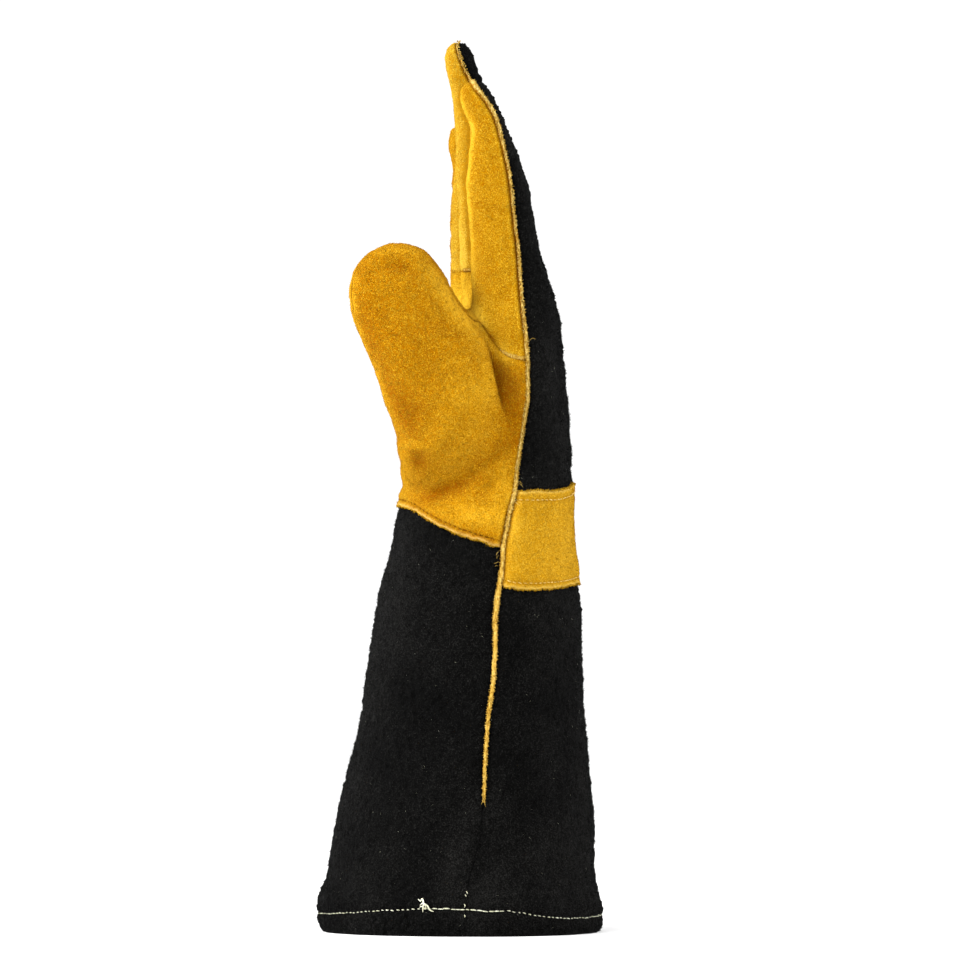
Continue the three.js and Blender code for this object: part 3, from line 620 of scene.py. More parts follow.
def halved(skin, near):
    # finer triangles where all corners are near a seam
    faces, size = skin["faces"], len(near)
    edges = edgesOf(faces)
    cut = edges[near[edges].all(1)]
    keys = cut[:, 0] * size + cut[:, 1]
    extra = between(skin, cut[:, 0], cut[:, 1], np.full(len(cut), 0.5))
    made = {name: np.concatenate([skin[name], column]) for name, column in extra.items()}

    def middle(i, j):
        key = np.minimum(i, j) * size + np.maximum(i, j)
        return size + np.searchsorted(keys, key)

    count = near[faces].sum(1)
    a, b, c = faces[count == 3].T
    ab, bc, ca = middle(a, b), middle(b, c), middle(c, a)
    inner = [np.stack(corners, 1) for corners in ((a, ab, ca), (ab, b, bc), (ca, bc, c), (ab, bc, ca))]
    two = faces[count == 2]
    a, b, c = rolled(two, np.argmin(near[two], 1)).T
    bc = middle(b, c)
    border = [np.stack(corners, 1) for corners in ((a, b, bc), (a, bc, c))]
    made["faces"] = np.concatenate([faces[count < 2], *inner, *border])
    return made


def clipped(skin, name):
    # the part of the skin where the named distance is above zero; points that lie close to
    # the cut move onto it, so that no slivers are left
    skin = {key: column.copy() for key, column in skin.items()}
    faces, distance = skin["faces"], skin[name]
    faces = faces[(distance[faces] > 0).any(1)]
    edges = edgesOf(faces)
    a, b = edges[(distance[edges] > 0).sum(1) == 1].T
    share = distance[a] / (distance[a] - distance[b])
    close = np.concatenate([a, b])
    far = np.concatenate([b, a])
    share = np.concatenate([share, 1 - share])
    order = np.argsort(-share)
    order = order[share[order] < snap]
    moved = between(skin, close[order], far[order], share[order])
    wasInside = distance[faces].mean(1) > 0
    for key, column in moved.items():
        skin[key][close[order]] = column
    distance = skin[name]
    distance[close[order]] = 0
    inside = distance >= 0
    count = inside[faces].sum(1)
    flat = (distance[faces] == 0).all(1)
    whole = faces[(count == 3) & (~flat | wasInside)]
    one, two = faces[count == 1], faces[count == 2]
    a, b, c = rolled(one, np.argmax(inside[one], 1)).T
    out, d, e = rolled(two, np.argmin(inside[two], 1)).T
    starts = np.concatenate([a, a, e, d])
    ends = np.concatenate([b, c, out, out])
    size = len(distance)
    keys, number = np.unique(starts * size + ends, return_inverse=True)
    starts, ends = keys // size, keys % size
    span = distance[starts] - distance[ends]
    extra = between(skin, starts, ends, distance[starts] / span)
    cut = np.where(distance[starts] == 0, starts, size + np.arange(len(keys)))[number]
    ab, ac, eo, do = np.split(cut, np.cumsum([len(a), len(a), len(e)]))
    pieces = [whole, np.stack([a, ab, ac], 1), np.stack([d, e, eo], 1), np.stack([d, eo, do], 1)]
    faces = np.concatenate(pieces)
    same = (faces == np.roll(faces, 1, 1)).any(1)
    used, faces = np.unique(faces[~same], return_inverse=True)
    made = {key: np.concatenate([skin[key], column])[used] for key, column in extra.items()}
    made["faces"] = faces.reshape(-1, 3)
    return made


def linesOn(skin, name, allowed):
    # the longest line on the skin where the named distance is zero, in order
    faces = skin["faces"][allowed[skin["faces"]].all(1)]
    inside = skin[name] > 0
    count = inside[faces].sum(1)
    faces = faces[(count == 1) | (count == 2)]
    pairs = np.stack([faces, np.roll(faces, -1, 1)], 2)
    crossing = inside[pairs[..., 0]] != inside[pairs[..., 1]]
    cuts = np.sort(pairs[crossing], 1)
    size = len(inside)
    keys, number = np.unique(cuts[:, 0] * size + cuts[:, 1], return_inverse=True)
    a, b = keys // size, keys % size
    points = between(skin, a, b, skin[name][a] / (skin[name][a] - skin[name][b]))
    neighbours = {}
    for i, j in number.reshape(-1, 2):
        neighbours.setdefault(i, []).append(j)
        neighbours.setdefault(j, []).append(i)
    chains, seen = [], set()
    starts = sorted(neighbours, key=lambda i: (len(neighbours[i]), i))
    for start in starts:
        if start in seen:
            continue
        chain = [start]
        seen.add(start)
        while True:
            onward = [i for i in neighbours[chain[-1]] if i not in seen]
            if not onward:
                break
            chain.append(onward[0])
            seen.add(onward[0])
        chains.append(chain)
    longest = max(chains, key=len)
    return {key: column[longest] for key, column in points.items()}


def evenly(line, step, rounds=2):
    # positions and normals of a line at even steps, softened over some rounds
    points, ups = line["shown"], line["normal"]
    for _ in range(rounds):
        points, ups = (np.concatenate([row[:1], (row[:-2] + 2 * row[1:-1] + row[2:]) / 4, row[-1:]])
                       for row in (points, ups))
    length = np.concatenate([[0], np.cumsum(np.linalg.norm(np.diff(points, axis=0), axis=1))])
    at = np.linspace(0, length[-1], max(int(length[-1] / step), 2) + 1)
    return sampled(at, length, points), unit(sampled(at, length, ups)), at


def swept(points, ups, profile):
    # a closed strip along a path: profile holds sideways and upward offsets for each point
    tangents = unit(np.gradient(points, axis=0))
    sides = unit(np.cross(tangents, ups))
    lift = np.cross(sides, tangents)
    rings = points[:, None] + sides[:, None] * profile[..., :1] + lift[:, None] * profile[..., 1:]
    return tubeOf(rings[:, ::-1])


def solidOf(skin, thickness):
    # a sheet of leather: the skin, its inside, and a rounded rim between the two
    faces, outer, up = skin["faces"], skin["shown"], skin["normal"]
    size = len(outer)
    inner = outer - up * np.broadcast_to(thickness, size)[:, None]
    runs = runsOf(faces)
    _, first, count = np.unique(runs.min(1) * size + runs.max(1), return_index=True, return_counts=True)
    rim = runs[first[count == 1]]
    outward = np.cross(outer[rim[:, 1]] - outer[rim[:, 0]], up[rim[:, 0]])
    total = np.zeros_like(outer)
    for end in rim.T:
        np.add.at(total, end, outward)
    onRim = np.unique(rim)
    deep = np.linalg.norm(inner[onRim] - outer[onRim], axis=1)
    middle = (outer[onRim] + inner[onRim]) / 2 + unit(total[onRim]) * (deep * rimBulge)[:, None]
    number = np.full(size, -1)
    number[onRim] = 2 * size + np.arange(len(onRim))
    a, b = rim.T
    ra, rb = number[a], number[b]
    sides = [np.stack(corners, 1) for corners in
             ((b, a, ra), (b, ra, rb), (rb, ra, a + size), (rb, a + size, b + size))]
    points = np.concatenate([outer, inner, middle])
    return points, np.concatenate([faces, faces[:, ::-1] + size, *sides]), onRim


def showMesh(name, points, faces, kind, **marks):
    # a finished piece of the glove in one of the finishes, with its marks for the material
    made = linked(name, meshOf(name, points, faces))
    for mark, values in marks.items():
        attribute = made.data.attributes.new(mark, "FLOAT", "POINT")
        attribute.data.foreach_set("value", values.astype(np.float32))
    made.data.materials.append(finishes[kind])
    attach(made, "root")
    return made


# Materials

class Signal:
    # a node's output, with the arithmetic that the finishes use
    def __init__(self, finish, socket):
        self.finish = finish
        self.socket = socket

    def math(self, operation, first, second=0.0):
        return self.finish.node("Math", {"operation": operation}, {0: first, 1: second})

    def __add__(self, other):
        return self.math("ADD", self, other)

    def __radd__(self, other):
        return self.math("ADD", other, self)

    def __sub__(self, other):
        return self.math("SUBTRACT", self, other)

    def __rsub__(self, other):
        return self.math("SUBTRACT", other, self)

    def __mul__(self, other):
        return self.math("MULTIPLY", self, other)

    def __rmul__(self, other):
        return self.math("MULTIPLY", other, self)

    def size(self):
        return self.math("ABSOLUTE", self)

    def clamped(self):
        return self.finish.node("Clamp", sockets={"Value": self})


class Finish:
    # a material, and the methods that add its nodes
    def __init__(self, name):
        self.material = bpy.data.materials.new(name)
        self.material.use_nodes = True
        self.tree = self.material.node_tree
        self.tree.nodes.clear()

    def node(self, kind, settings=None, sockets=None, output=0):
        made = self.tree.nodes.new("ShaderNode" + kind)
        for name, value in (settings or {}).items():
            if name == "stops":
                self.setStops(made.color_ramp, value)
            else:
                setattr(made, name, value)
        for name, value in (sockets or {}).items():
            if isinstance(value, Signal):
                self.tree.links.new(value.socket, made.inputs[name])
            else:
                made.inputs[name].default_value = value
        return Signal(self, made.outputs[output]) if len(made.outputs) else None

    def setStops(self, ramp, stops):
        while len(ramp.elements) < len(stops):
            ramp.elements.new(1)
        for element, (position, colour) in zip(ramp.elements, stops):
            element.position = position
            element.color = (*colour, 1)

    def place(self, scale=None):
        place = self.node("TexCoord", output="Object")
        return self.node("Mapping", sockets={"Vector": place, "Scale": scale}) if scale else place

    def ramp(self, tone, stops):
        return self.node("ValToRGB", {"stops": stops}, {"Fac": tone})

    def noise(self, place, scale, detail=2.0, roughness=0.5, distortion=0.0):
        return self.node("TexNoise", sockets={
            "Vector": place, "Scale": scale, "Detail": detail,
            "Roughness": roughness, "Distortion": distortion})

    def mark(self, name):
        return self.node("Attribute", {"attribute_name": name}, output="Fac")

    def mixed(self, share, first, second):
        # the mix node's inputs 6 and 7 and its output 2 are the ones for colours
        first, second = ((*value, 1) if isinstance(value, tuple) else value for value in (first, second))
        return self.node("Mix", {"data_type": "RGBA"}, {0: share, 6: first, 7: second}, 2)

    def surface(self, colour, roughness, height, strength, distance, **fixed):
        normal = self.node("Bump", sockets={"Height": height, "Strength": strength, "Distance": distance})
        sockets = {"Base Color": colour, "Roughness": roughness, "Normal": normal}
        sockets.update({name.replace("_", " "): value for name, value in fixed.items()})
        shader = self.node("BsdfPrincipled", sockets=sockets)
        self.node("OutputMaterial", sockets={"Surface": shader})
        return self.material


curlBreak = {"scale": 1.7, "above": 0.36, "steep": 4}
curlMean = 0.4
relief = {"curls": 0.45, "dust": 0.8, "patches": 0.6}


def suede(name, look):
    # napped split leather: curly nap, patches, raw edges and the shade in the seams
    finish = Finish(name)
    place = finish.place()
    base = finish.noise(finish.place(look["grain"]), look["curlScale"], distortion=look["curl"])
    breaks = finish.noise(place, look["curlScale"] * curlBreak["scale"], detail=1)
    whole = ((breaks - curlBreak["above"]) * curlBreak["steep"]).clamped()
    curls = (1 - (base - 0.5).size() * look["curlNarrow"]).clamped() * whole
    dust = finish.noise(place, look["dustScale"], detail=3, roughness=0.6)
    patches = finish.noise(place, look["patchScale"], detail=3, roughness=0.55, distortion=0.4)
    tones = finish.noise(place, look["toneScale"])
    weight = look["weights"]
    # the tone mark adds painted shade and painted light besides the nap's own patches
    tone = (0.5 + (curls - curlMean) * weight[0] + (dust - 0.5) * weight[1]
            + (patches - 0.5) * weight[2] + (tones - 0.5) * weight[3] + finish.mark("tone"))
    colour = finish.ramp(tone, look["stops"])
    raw = (finish.mark("raw") * (0.5 + dust)).clamped()
    colour = finish.mixed(raw, colour, look["rawColour"])
    # the seam mark: dark seam lines, with painted shade in the grooves beside the welt, along the stitch
    # rows and on the fold's wall
    shade = finish.mark("seam") * look["seamShade"]
    colour = finish.mixed(shade, colour, look["seamAndShadeColour"])
    height = curls * relief["curls"] + dust * relief["dust"] + patches * relief["patches"]
    return finish.surface(colour, 0.9 + 0.1 * dust, height, look["bump"], look["bumpDepth"],
                          **look["fixed"])


goldLook = {
    "grain": (1, 1, 1),
    "curlScale": 1040,
    "curlNarrow": 8.0,
    "curl": 2.4,
    "dustScale": 2500,
    "patchScale": 120,
    "toneScale": 17,
    "weights": (0.66, 1.05, 0.28, 0.26),
    "stops": [(0.05, (0.25, 0.069, 0.0002)), (0.25, (0.315, 0.115, 0.0005)),
              (0.5, (0.475, 0.217, 0.0021)), (0.8, (0.735, 0.405, 0.021))],
    "rawColour": (0.66, 0.40, 0.09),
    "seamAndShadeColour": (0.20, 0.068, 0.0004),
    "seamShade": 0.9,
    "bump": 1.0,
    "bumpDepth": 0.0007,
    "fixed": {"Specular_IOR_Level": 0.0, "Sheen_Weight": 0.14, "Sheen_Roughness": 0.35,
              "Sheen_Tint": (1.0, 0.66, 0.12, 1)},
}
palmLook = {**goldLook,
            "stops": [(0.05, (0.24, 0.072, 0.0003)), (0.25, (0.30, 0.118, 0.0007)),
                      (0.5, (0.455, 0.222, 0.0026)), (0.8, (0.72, 0.42, 0.026))]}
# a lighter copy of the golden suede for the finger fronts: painted light, where the side light falls on
# them
litFingerLook = {**goldLook,
              "stops": [(0.2, (0.36, 0.165, 0.003)), (0.5, (0.57, 0.34, 0.020)),
                        (0.8, (0.79, 0.52, 0.066))]}
bandLook = {**goldLook,
            "stops": [(0.2, (0.38, 0.172, 0.002)), (0.5, (0.59, 0.305, 0.010)), (0.8, (0.79, 0.46, 0.036))],
            "rawColour": (0.72, 0.45, 0.07)}
blackLook = {
    "grain": (1, 1, 0.6),
    "curlScale": 900,
    "curlNarrow": 9,
    "curl": 1.8,
    "dustScale": 1700,
    "patchScale": 60,
    "toneScale": 15,
    "weights": (0.6, 1.2, 0.35, 0.7),
    "stops": [(0.2, (0.0011, 0.0011, 0.001)), (0.5, (0.0037, 0.0037, 0.0033)),
              (0.85, (0.017, 0.0166, 0.0155))],
    "rawColour": (0.009, 0.0086, 0.008),
    "seamAndShadeColour": (0.0008, 0.0008, 0.0008),
    "seamShade": 0.8,
    "bump": 1.0,
    "bumpDepth": 0.0008,
    "fixed": {"Specular_IOR_Level": 0.03, "Sheen_Weight": 0.006, "Sheen_Roughness": 0.5,
              "Sheen_Tint": (0.95, 0.95, 1.0, 1)},
}


def rawStrip(name, look):
    # cut leather strip with loose fibres along it
    finish = Finish(name)
    place = finish.place()
    fibres = finish.noise(finish.place(look["grain"]), look["fibreScale"], detail=3, roughness=0.6,
                          distortion=0.8)
    blotches = finish.noise(place, look["blotchScale"], detail=3, roughness=0.6)
    height = finish.node("SeparateXYZ", sockets={"Vector": place}, output="Z")
    high = finish.node("MapRange", sockets={
        "Value": height, "From Min": look["turn"][0], "From Max": look["turn"][1],
        "To Min": 0.0, "To Max": 1.0})
    weight = look["weights"]
    tone = 0.5 + (fibres - 0.5) * weight[0] + (blotches - 0.5) * weight[1] + finish.mark("tone")
    colour = finish.mixed(high, finish.ramp(tone, look["below"]), finish.ramp(tone, look["above"]))
    return finish.surface(colour, 0.9 + 0.1 * fibres, fibres, look["bump"], look["bumpDepth"],
                          **look["fixed"])


weltLook = {
    "grain": (1, 1, 0.3),
    "fibreScale": 1500,
    "blotchScale": 160,
    "weights": (1.6, 0.4),
    "turn": (0.145, 0.19),       # metres up, between which one row of colours passes into the other
    "above": [(0.1, (0.19, 0.068, 0.0004)), (0.5, (0.36, 0.222, 0.035)), (0.8, (0.62, 0.46, 0.15))],
    "below": [(0.1, (0.15, 0.050, 0.0004)), (0.5, (0.49, 0.295, 0.044)), (0.8, (0.72, 0.50, 0.14))],
    "bump": 0.7,
    "bumpDepth": 0.0004,
    "fixed": {"Specular_IOR_Level": 0.02, "Sheen_Weight": 0.03, "Sheen_Roughness": 0.5,
              "Sheen_Tint": (1.0, 0.8, 0.3, 1)},
}


twisted = {"twistScale": 2200, "soilScale": 240, "bump": 0.5, "bumpDepth": 0.0002}


def threadFinish(name, look):
    # twisted sewing thread
    finish = Finish(name)
    place = finish.place()
    twist = finish.noise(place, twisted["twistScale"])
    soil = finish.noise(place, twisted["soilScale"])
    colour = finish.ramp(0.5 + (twist - 0.5) + (soil - 0.5), look["stops"])
    return finish.surface(colour, 0.7 + 0.2 * twist, twist, twisted["bump"], twisted["bumpDepth"],
                          **look["fixed"])


threadFixed = {"Specular_IOR_Level": 0.25, "Sheen_Weight": 0.1}
creamThread = {"stops": [(0.2, (0.34, 0.34, 0.20)), (0.5, (0.60, 0.60, 0.43)), (0.8, (0.84, 0.85, 0.70))],
               "fixed": threadFixed}
paleThread = {"stops": [(0.2, (0.38, 0.21, 0.02)), (0.5, (0.56, 0.36, 0.06)), (0.8, (0.76, 0.57, 0.19))],
              "fixed": threadFixed}
brownThread = {"stops": [(0.2, (0.035, 0.010, 0.001)), (0.5, (0.12, 0.042, 0.002)),
                         (0.8, (0.30, 0.12, 0.008))],
               "fixed": {"Specular_IOR_Level": 0.0}}

finishes = {
    "gold": suede("golden suede", goldLook),
    "palm": suede("yellow golden suede", palmLook),
    "fingers": suede("lit golden suede", litFingerLook),
    "band": suede("band suede", bandLook),
    "black": suede("black suede", blackLook),
    "welt": rawStrip("raw welt", weltLook),
    "cream": threadFinish("cream thread", creamThread),
    "pale": threadFinish("pale thread", paleThread),
    "brown": threadFinish("brown thread", brownThread),
}
slots = {kind: "gold_suede" for kind in ("gold", "palm", "fingers", "band")}
slots |= {kind: "thread" for kind in ("cream", "pale", "brown")}
slots |= {"black": "black_suede", "welt": "pale_welt"}
print("finishes:", len(finishes))


# Skin of the whole glove

lap = {
    "tuck": 4.0,         # how far the cuff runs up under the palm
    "lift": 0.9,         # how far the palm's edge stands out over the cuff
    "from": 3.0,
    "to": 16.0,
    "row": 2.2,          # stitch row above the edge
    "rowShade": 0.42,
    "pull": 0.6,
    "pullWidth": 0.8,
    "press": 0.7,        # how far the cuff is pressed in under that edge
    "pressed": (-9.0, -3.0),     # from and to, above the cuff's own edge
}
# how far on both sides of a cut the skin is finer, and up to which height at the hem
fine = {"main": 4.2, "edge": 2.6, "thumb": 1.2, "band": 3.6, "hem": 13.0}


def nearSeams(place):
    # where the skin is halved: beside the cuts of each part of it, at the fold and at the hem
    at = distancesAt(place)
    close = {name: np.abs(at[name]) < fine[reach] for name, reach in (
        ("toBack", "main"), ("overJoint", "band"), ("edge", "edge"), ("thumb", "thumb"), ("wing", "edge"),
        ("front", "edge"), ("belowBand", "band"), ("aboveBand", "band"))}
    palmHalf = at["toBack"] < 0
    gold = palmHalf & (at["overJoint"] > -fine["edge"])
    onOrUnderThumb = (at["thumb"] > -fine["thumb"]) | (place[:, 2] < thumb["z"][0])
    near = close["toBack"] | (palmHalf & close["overJoint"]) | (place[:, 2] < fine["hem"])
    near |= gold & (close["thumb"] | close["front"] | (close["edge"] & onOrUnderThumb))
    near |= gold & close["wing"] & (at["edge"] > -fine["edge"])
    near |= ~palmHalf & (close["belowBand"] | close["aboveBand"])
    beside, hollow, *_ = foldAt(place)
    return near | ((hollow != 0) & (np.abs(beside) < foldEdge["fine"]))


forms = [tubeOf(ringsOf(body, 0, form["foot"])), tubeOf(ringsOf(thumb, 0))]
forms += [tubeOf(ringsOf(finger, form["slim"])) for finger in fingers]
place, faces = oneSkin(*joined(forms))
place = relaxed(place, faces, form["smoothing"])
shown = place + dented(place, normalsOf(place, faces))
skin = {"place": place, "shown": shown, "normal": normalsOf(shown, faces), "faces": faces}
skin = halved(skin, nearSeams(place))
skin.update(distancesAt(skin["place"]))
skin["tone"] = toneAndPaintedLightOf(skin["place"], skin["normal"])
print("skin:", len(skin["faces"]), "triangles")


# Leather panels

hem = {"pull": 0.9, "pullWidth": 1.3, "layers": 4.0, "from": 11.0, "to": 13.0}
# turned edges: shade is the width of the painted shade beside a turned edge; beside's rim, rimWide and
# light give a painted highlight on the rounded rim next to the welt
turned = {"width": 1.3, "shade": 0.85, "raw": 0.7, "row": 0.6,
          "beside": {"width": 0.6, "shade": 0.4, "rim": 1.4, "rimWide": 0.7, "light": 0.12}}
# where a turned edge shows less: what is left of it there, and the heights or the distances
# over which it comes back
faint = {
    "thumb": {"least": 0.1, "z": (196, 224), "hidden": 0.85, "x": (-30, -16), "y": -30},
    "front": {"least": 0.15, "middle": -1.0, "off": (15.5, 17.0)},
    "cuff": {"least": 0.3, "z": (48, 60)},
}


def goldShape(part):
    # the palm's lower edge lies over the cuff, and its stitch row is pulled in
    lift = lap["lift"] * (1 - smoothStep(part["joint"], lap["from"], lap["to"]))
    return lift - lap["pull"] * bell(part["joint"] - lap["row"], lap["pullWidth"])


def hemShape(part):
    # the stitch row pulls in the turned hem
    return -hem["pull"] * bell(part["hemRow"], hem["pullWidth"])


def cuffShape(part):
    # the same, and the part under the palm's edge is pressed in
    return hemShape(part) - lap["press"] * smoothStep(part["joint"] - lap["tuck"], *lap["pressed"])


leather = {
    "palm": {
        "cuts": ["palmSide", "overJoint", "palmZone", "offThumb", "offFront"],
        "turned": {"palmSide": 0.5, "palmZone": 0.6, "offThumb": 0.8, "offFront": 0.7},
        "raw": "overJoint", "shape": goldShape, "finish": "palm", "thick": 1.7,
    },
    "finger_fronts": {
        "cuts": ["palmSide", "onFront"],
        "turned": {"palmSide": 0.5, "onFront": 0.6},
        "raw": None, "shape": None, "finish": "fingers", "thick": 1.6,
    },
    "thumb_outer": {
        "cuts": ["palmSide", "overJoint", "outerSide", "wingOrThumb"],
        "turned": {"palmSide": 0.5, "outerSide": 0.7, "wingOrThumb": 0.7},
        "raw": "overJoint", "shape": goldShape, "finish": "gold", "thick": 1.7,
    },
    "thumb_inner": {
        "cuts": ["palmSide", "overJoint", "innerSide", "onThumb"],
        "turned": {"innerSide": 0.7, "onThumb": 0.8},
        "raw": None, "shape": None, "finish": "gold", "thick": 1.6,
    },
    "hand_back": {
        "cuts": ["backSide", "overBack"],
        "turned": {"backSide": 0.6},
        "raw": None, "shape": None, "finish": "black", "thick": 1.7,
    },
    "cuff_palm": {
        "cuts": ["palmSide", "underJoint", "floor"],
        "turned": {"palmSide": 0.4},
        "raw": None, "shape": cuffShape, "finish": "black", "thick": 1.9,
    },
    "cuff_back": {
        "cuts": ["backSide", "underBack", "floor"],
        "turned": {"backSide": 0.6},
        "raw": None, "shape": hemShape, "finish": "black", "thick": 1.9,
    },
}
softNap = {"height": 0.05, "waves": (2.6, 5.5, 48), "grit": 0.015}
nap = {
    "gold": softNap, "palm": softNap, "fingers": softNap, "band": {**softNap, "grit": 0.02},
    "black": {"height": 0.22, "waves": (2.4, 3.8, 48), "grit": 0.2},
}
smoothHem = 1.5          # height over which the relief of the nap sets in
sheets = {}


def roughened(part, kind, seed):
    look = nap[kind]
    random = np.random.default_rng(seed)
    height = ripple(part["place"], *look["waves"], seed) * look["height"]
    height += random.normal(size=len(height)) * look["grit"]
    return height * smoothStep(part["place"][:, 2], 0, smoothHem)


def partOf(cuts):
    part = skin
    for cut in cuts:
        part = clipped(part, cut)
    return part


def edgeFade(part, edge, spec):
    # how strongly a turned edge shows along its length
    x, y, z = part["place"].T
    if edge in ("outerSide", "palmZone", "onThumb", "offThumb"):
        rule = faint["thumb"]
        hidden = rule["hidden"] * smoothStep(x, *rule["x"]) * (y < rule["y"])
        return (rule["least"] + (1 - rule["least"]) * smoothStep(z, *rule["z"])) * (1 - hidden)
    if edge in ("onFront", "offFront"):
        rule = faint["front"]
        off = np.abs(y - rule["middle"])
        return rule["least"] + (1 - rule["least"]) * smoothStep(off, *rule["off"])
    if "floor" in spec["cuts"]:
        rule = faint["cuff"]
        return rule["least"] + (1 - rule["least"]) * smoothStep(z, *rule["z"])
    return np.ones(len(z))


def sheetPiece(name, part, lift, thick, seamAndShadeMark, rawMark, kind):
    # a finished panel, from its part of the skin and how far it stands off it
    part["shown"] = part["shown"] + part["normal"] * lift[:, None]
    part["shown"][:, 2] = np.maximum(part["shown"][:, 2], 0)
    turnedIn = 1 - smoothStep(part["place"][:, 2], hem["from"], hem["to"])
    points, faces, rim = solidOf(part, thick + (hem["layers"] - thick) * turnedIn)
    points[:, 2] = np.maximum(points[:, 2], 0)
    marks = {mark: np.concatenate([values, values, values[rim]])
             for mark, values in (("seam", seamAndShadeMark), ("raw", rawMark), ("tone", part["tone"]))}
    made = showMesh(name + "_suede", points, faces, kind, **marks)
    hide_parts(name)
    sheets[name] = part
    print("panel:", name, len(faces))


def panelPiece(name, spec, seed):
    part = partOf(spec["cuts"])
    lift = roughened(part, spec["finish"], seed)
    beside, hollow, _, strength = foldAt(part["place"])
    # painted shade on the fold's wall
    wall = besideFold(beside, "wall") * np.sqrt(strength) * (hollow > 0)
    seamAndShadeMark = wall * foldEdge["wall"]["shade"]
    rawMark = np.zeros(len(lift))
    # painted shade along each turned edge, in the groove it makes
    for edge, depth in spec["turned"].items():
        if edge == "palmSide" and spec["finish"] != "black":
            fade = np.interp(part["place"][:, 2], welt["groove"]["z"], welt["groove"]["dip"])
            width = turned["beside"]
            # a painted highlight on the rounded rim just before the groove
            rim = bell(part[edge] - width["rim"], width["rimWide"])
            part["tone"] = part["tone"] + rim * fade * width["light"]
        else:
            fade, width = edgeFade(part, edge, spec), turned
        lift -= depth * bell(part[edge], width["width"]) * fade
        seamAndShadeMark = np.maximum(seamAndShadeMark, bell(part[edge], width["shade"]) * fade)
    if spec["raw"]:
        rawMark = bell(part[spec["raw"]], turned["raw"])
        # painted shade along the pulled-in stitch row above the cut edge
        row = bell(part["joint"] - lap["row"], turned["row"])
        seamAndShadeMark = np.maximum(seamAndShadeMark, row * lap["rowShade"])
    if spec["shape"]:
        lift += spec["shape"](part)
    sheetPiece(name, part, lift, spec["thick"], seamAndShadeMark, rawMark, spec["finish"])


for number, (name, spec) in enumerate(leather.items()):
    panelPiece(name, spec, 100 + number)


# Wrist band, sewn over the joint of the cuff and the back

band = {
    "off": 1.45,         # how far its face stands over the back
    "thick": 1.35,
    "ends": 1.3,         # how far it is turned into the seams at its ends
    "rows": {"fromTop": 3.3, "fromBottom": 2.3},
    "pull": 0.4,
    "rowShade": 0.45,
    "seed": 120,
}


def bandPiece():
    part = partOf(("backSide", "belowBand", "aboveBand"))
    lift = roughened(part, "band", band["seed"]) + band["off"]
    lift -= band["ends"] * bell(part["backSide"], turned["width"])
    # painted shade where the band's ends turn into the seams and along its pulled-in stitch rows
    seamAndShadeMark = bell(part["backSide"], turned["shade"])
    for edge, row in band["rows"].items():
        near = bell(part[edge] - row, turned["row"])
        lift -= band["pull"] * near
        seamAndShadeMark = np.maximum(seamAndShadeMark, near * band["rowShade"])
    rawMark = bell(np.minimum(part["belowBand"], part["aboveBand"]), turned["raw"])
    sheetPiece("wrist_band", part, lift, band["thick"], seamAndShadeMark, rawMark, "band")


bandPiece()


# Welts, the strips sewn into the seams

# the points round a strip: beside its middle, up, and how much of each is its root, the bottom of the
# groove beside it, wider on the palm's side, or frayed; its tone is painted shade, darkest in the groove
stripRing = tableOf("across rise root shoulder wide frayed tone", [
    (-1.1, 0, 1, 0, 1, 0, -0.8), (1.1, 0, 1, 0, 0, 0, -0.8), (1.1, 0, 0, 1, 0, 0, -0.8),
    (1.0, 0, 0, 0.3, 0, 1, -0.25), (0.8, 0.65, 0, 0, 0, 1, -0.06), (0.3, 1, 0, 0, 0, 1, 0),
    (-0.3, 1, 0, 0, 0, 1, 0), (-0.8, 0.65, 0, 0, 0, 1, -0.06), (-1.0, 0, 0, 0.3, 0, 1, -0.3),
    (-1.1, 0, 0, 1, 1, 0, -0.8),
])
# the thicker end of the welt at the tip of the index finger
tipLump = {"size": 0.5, "x": 5.0, "wide": 3.0, "z": 347, "long": 4.0, "y": -30}
# the least share of the groove's dip that its shoulder and the strip's painted shade keep
leastDip = {"shoulder": 0.2, "tone": 0.35}
underPalm = 0.1          # how far a strip reaches in under the palm's leather
wanderWaves = (5, 14, 12)


def stripOf(points, ups, spec, seed):
    # a strip that stands in a seam, with an uneven rounded top
    random = np.random.default_rng(seed)
    x, y, z = points.T
    half, rise = (np.interp(z, spec["shape"]["z"], spec["shape"][name]) for name in ("half", "rise"))
    lump = tipLump["size"] * bell(x - tipLump["x"], tipLump["wide"]) * (y < tipLump["y"])
    lump *= bell(z - tipLump["z"], tipLump["long"])
    across = stripRing["across"] * (half + lump)[:, None]
    height = stripRing["rise"] * (rise + lump)[:, None]
    fray = random.normal(size=(2, *across.shape)) * spec["fray"] * stripRing["frayed"]
    across += fray[0] + (ripple(points, *wanderWaves, seed) * spec["wander"])[:, None]
    height += fray[1] - stripRing["root"] * spec["root"]
    dip = np.interp(z, welt["groove"]["z"], welt["groove"]["dip"])
    height -= stripRing["shoulder"] * (spec["shoulder"] * np.maximum(dip, leastDip["shoulder"]))[:, None]
    across -= stripRing["wide"] * (gapAt(y, z) + underPalm)[:, None]
    return swept(points, ups, np.stack([across, height], 2))


def addStrip(name, points, ups, spec, seed, node=None):
    points, faces = stripOf(points, ups, spec, seed)
    ring = stripRing["tone"][::-1]
    tone = np.append(np.tile(ring, len(points) // len(ring)), np.zeros(len(points) % len(ring)))
    # the strip's painted shade, as strong as the groove's dip, and the welt paler towards the tips
    dip = np.interp(points[:, 2], welt["groove"]["z"], welt["groove"]["dip"])
    tone = tone * np.maximum(dip, leastDip["tone"]) + np.interp(points[:, 2], *zip(*spec["light"]))
    made = showMesh(name, points, faces, "welt", tone=tone)
    if node:
        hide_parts(node)


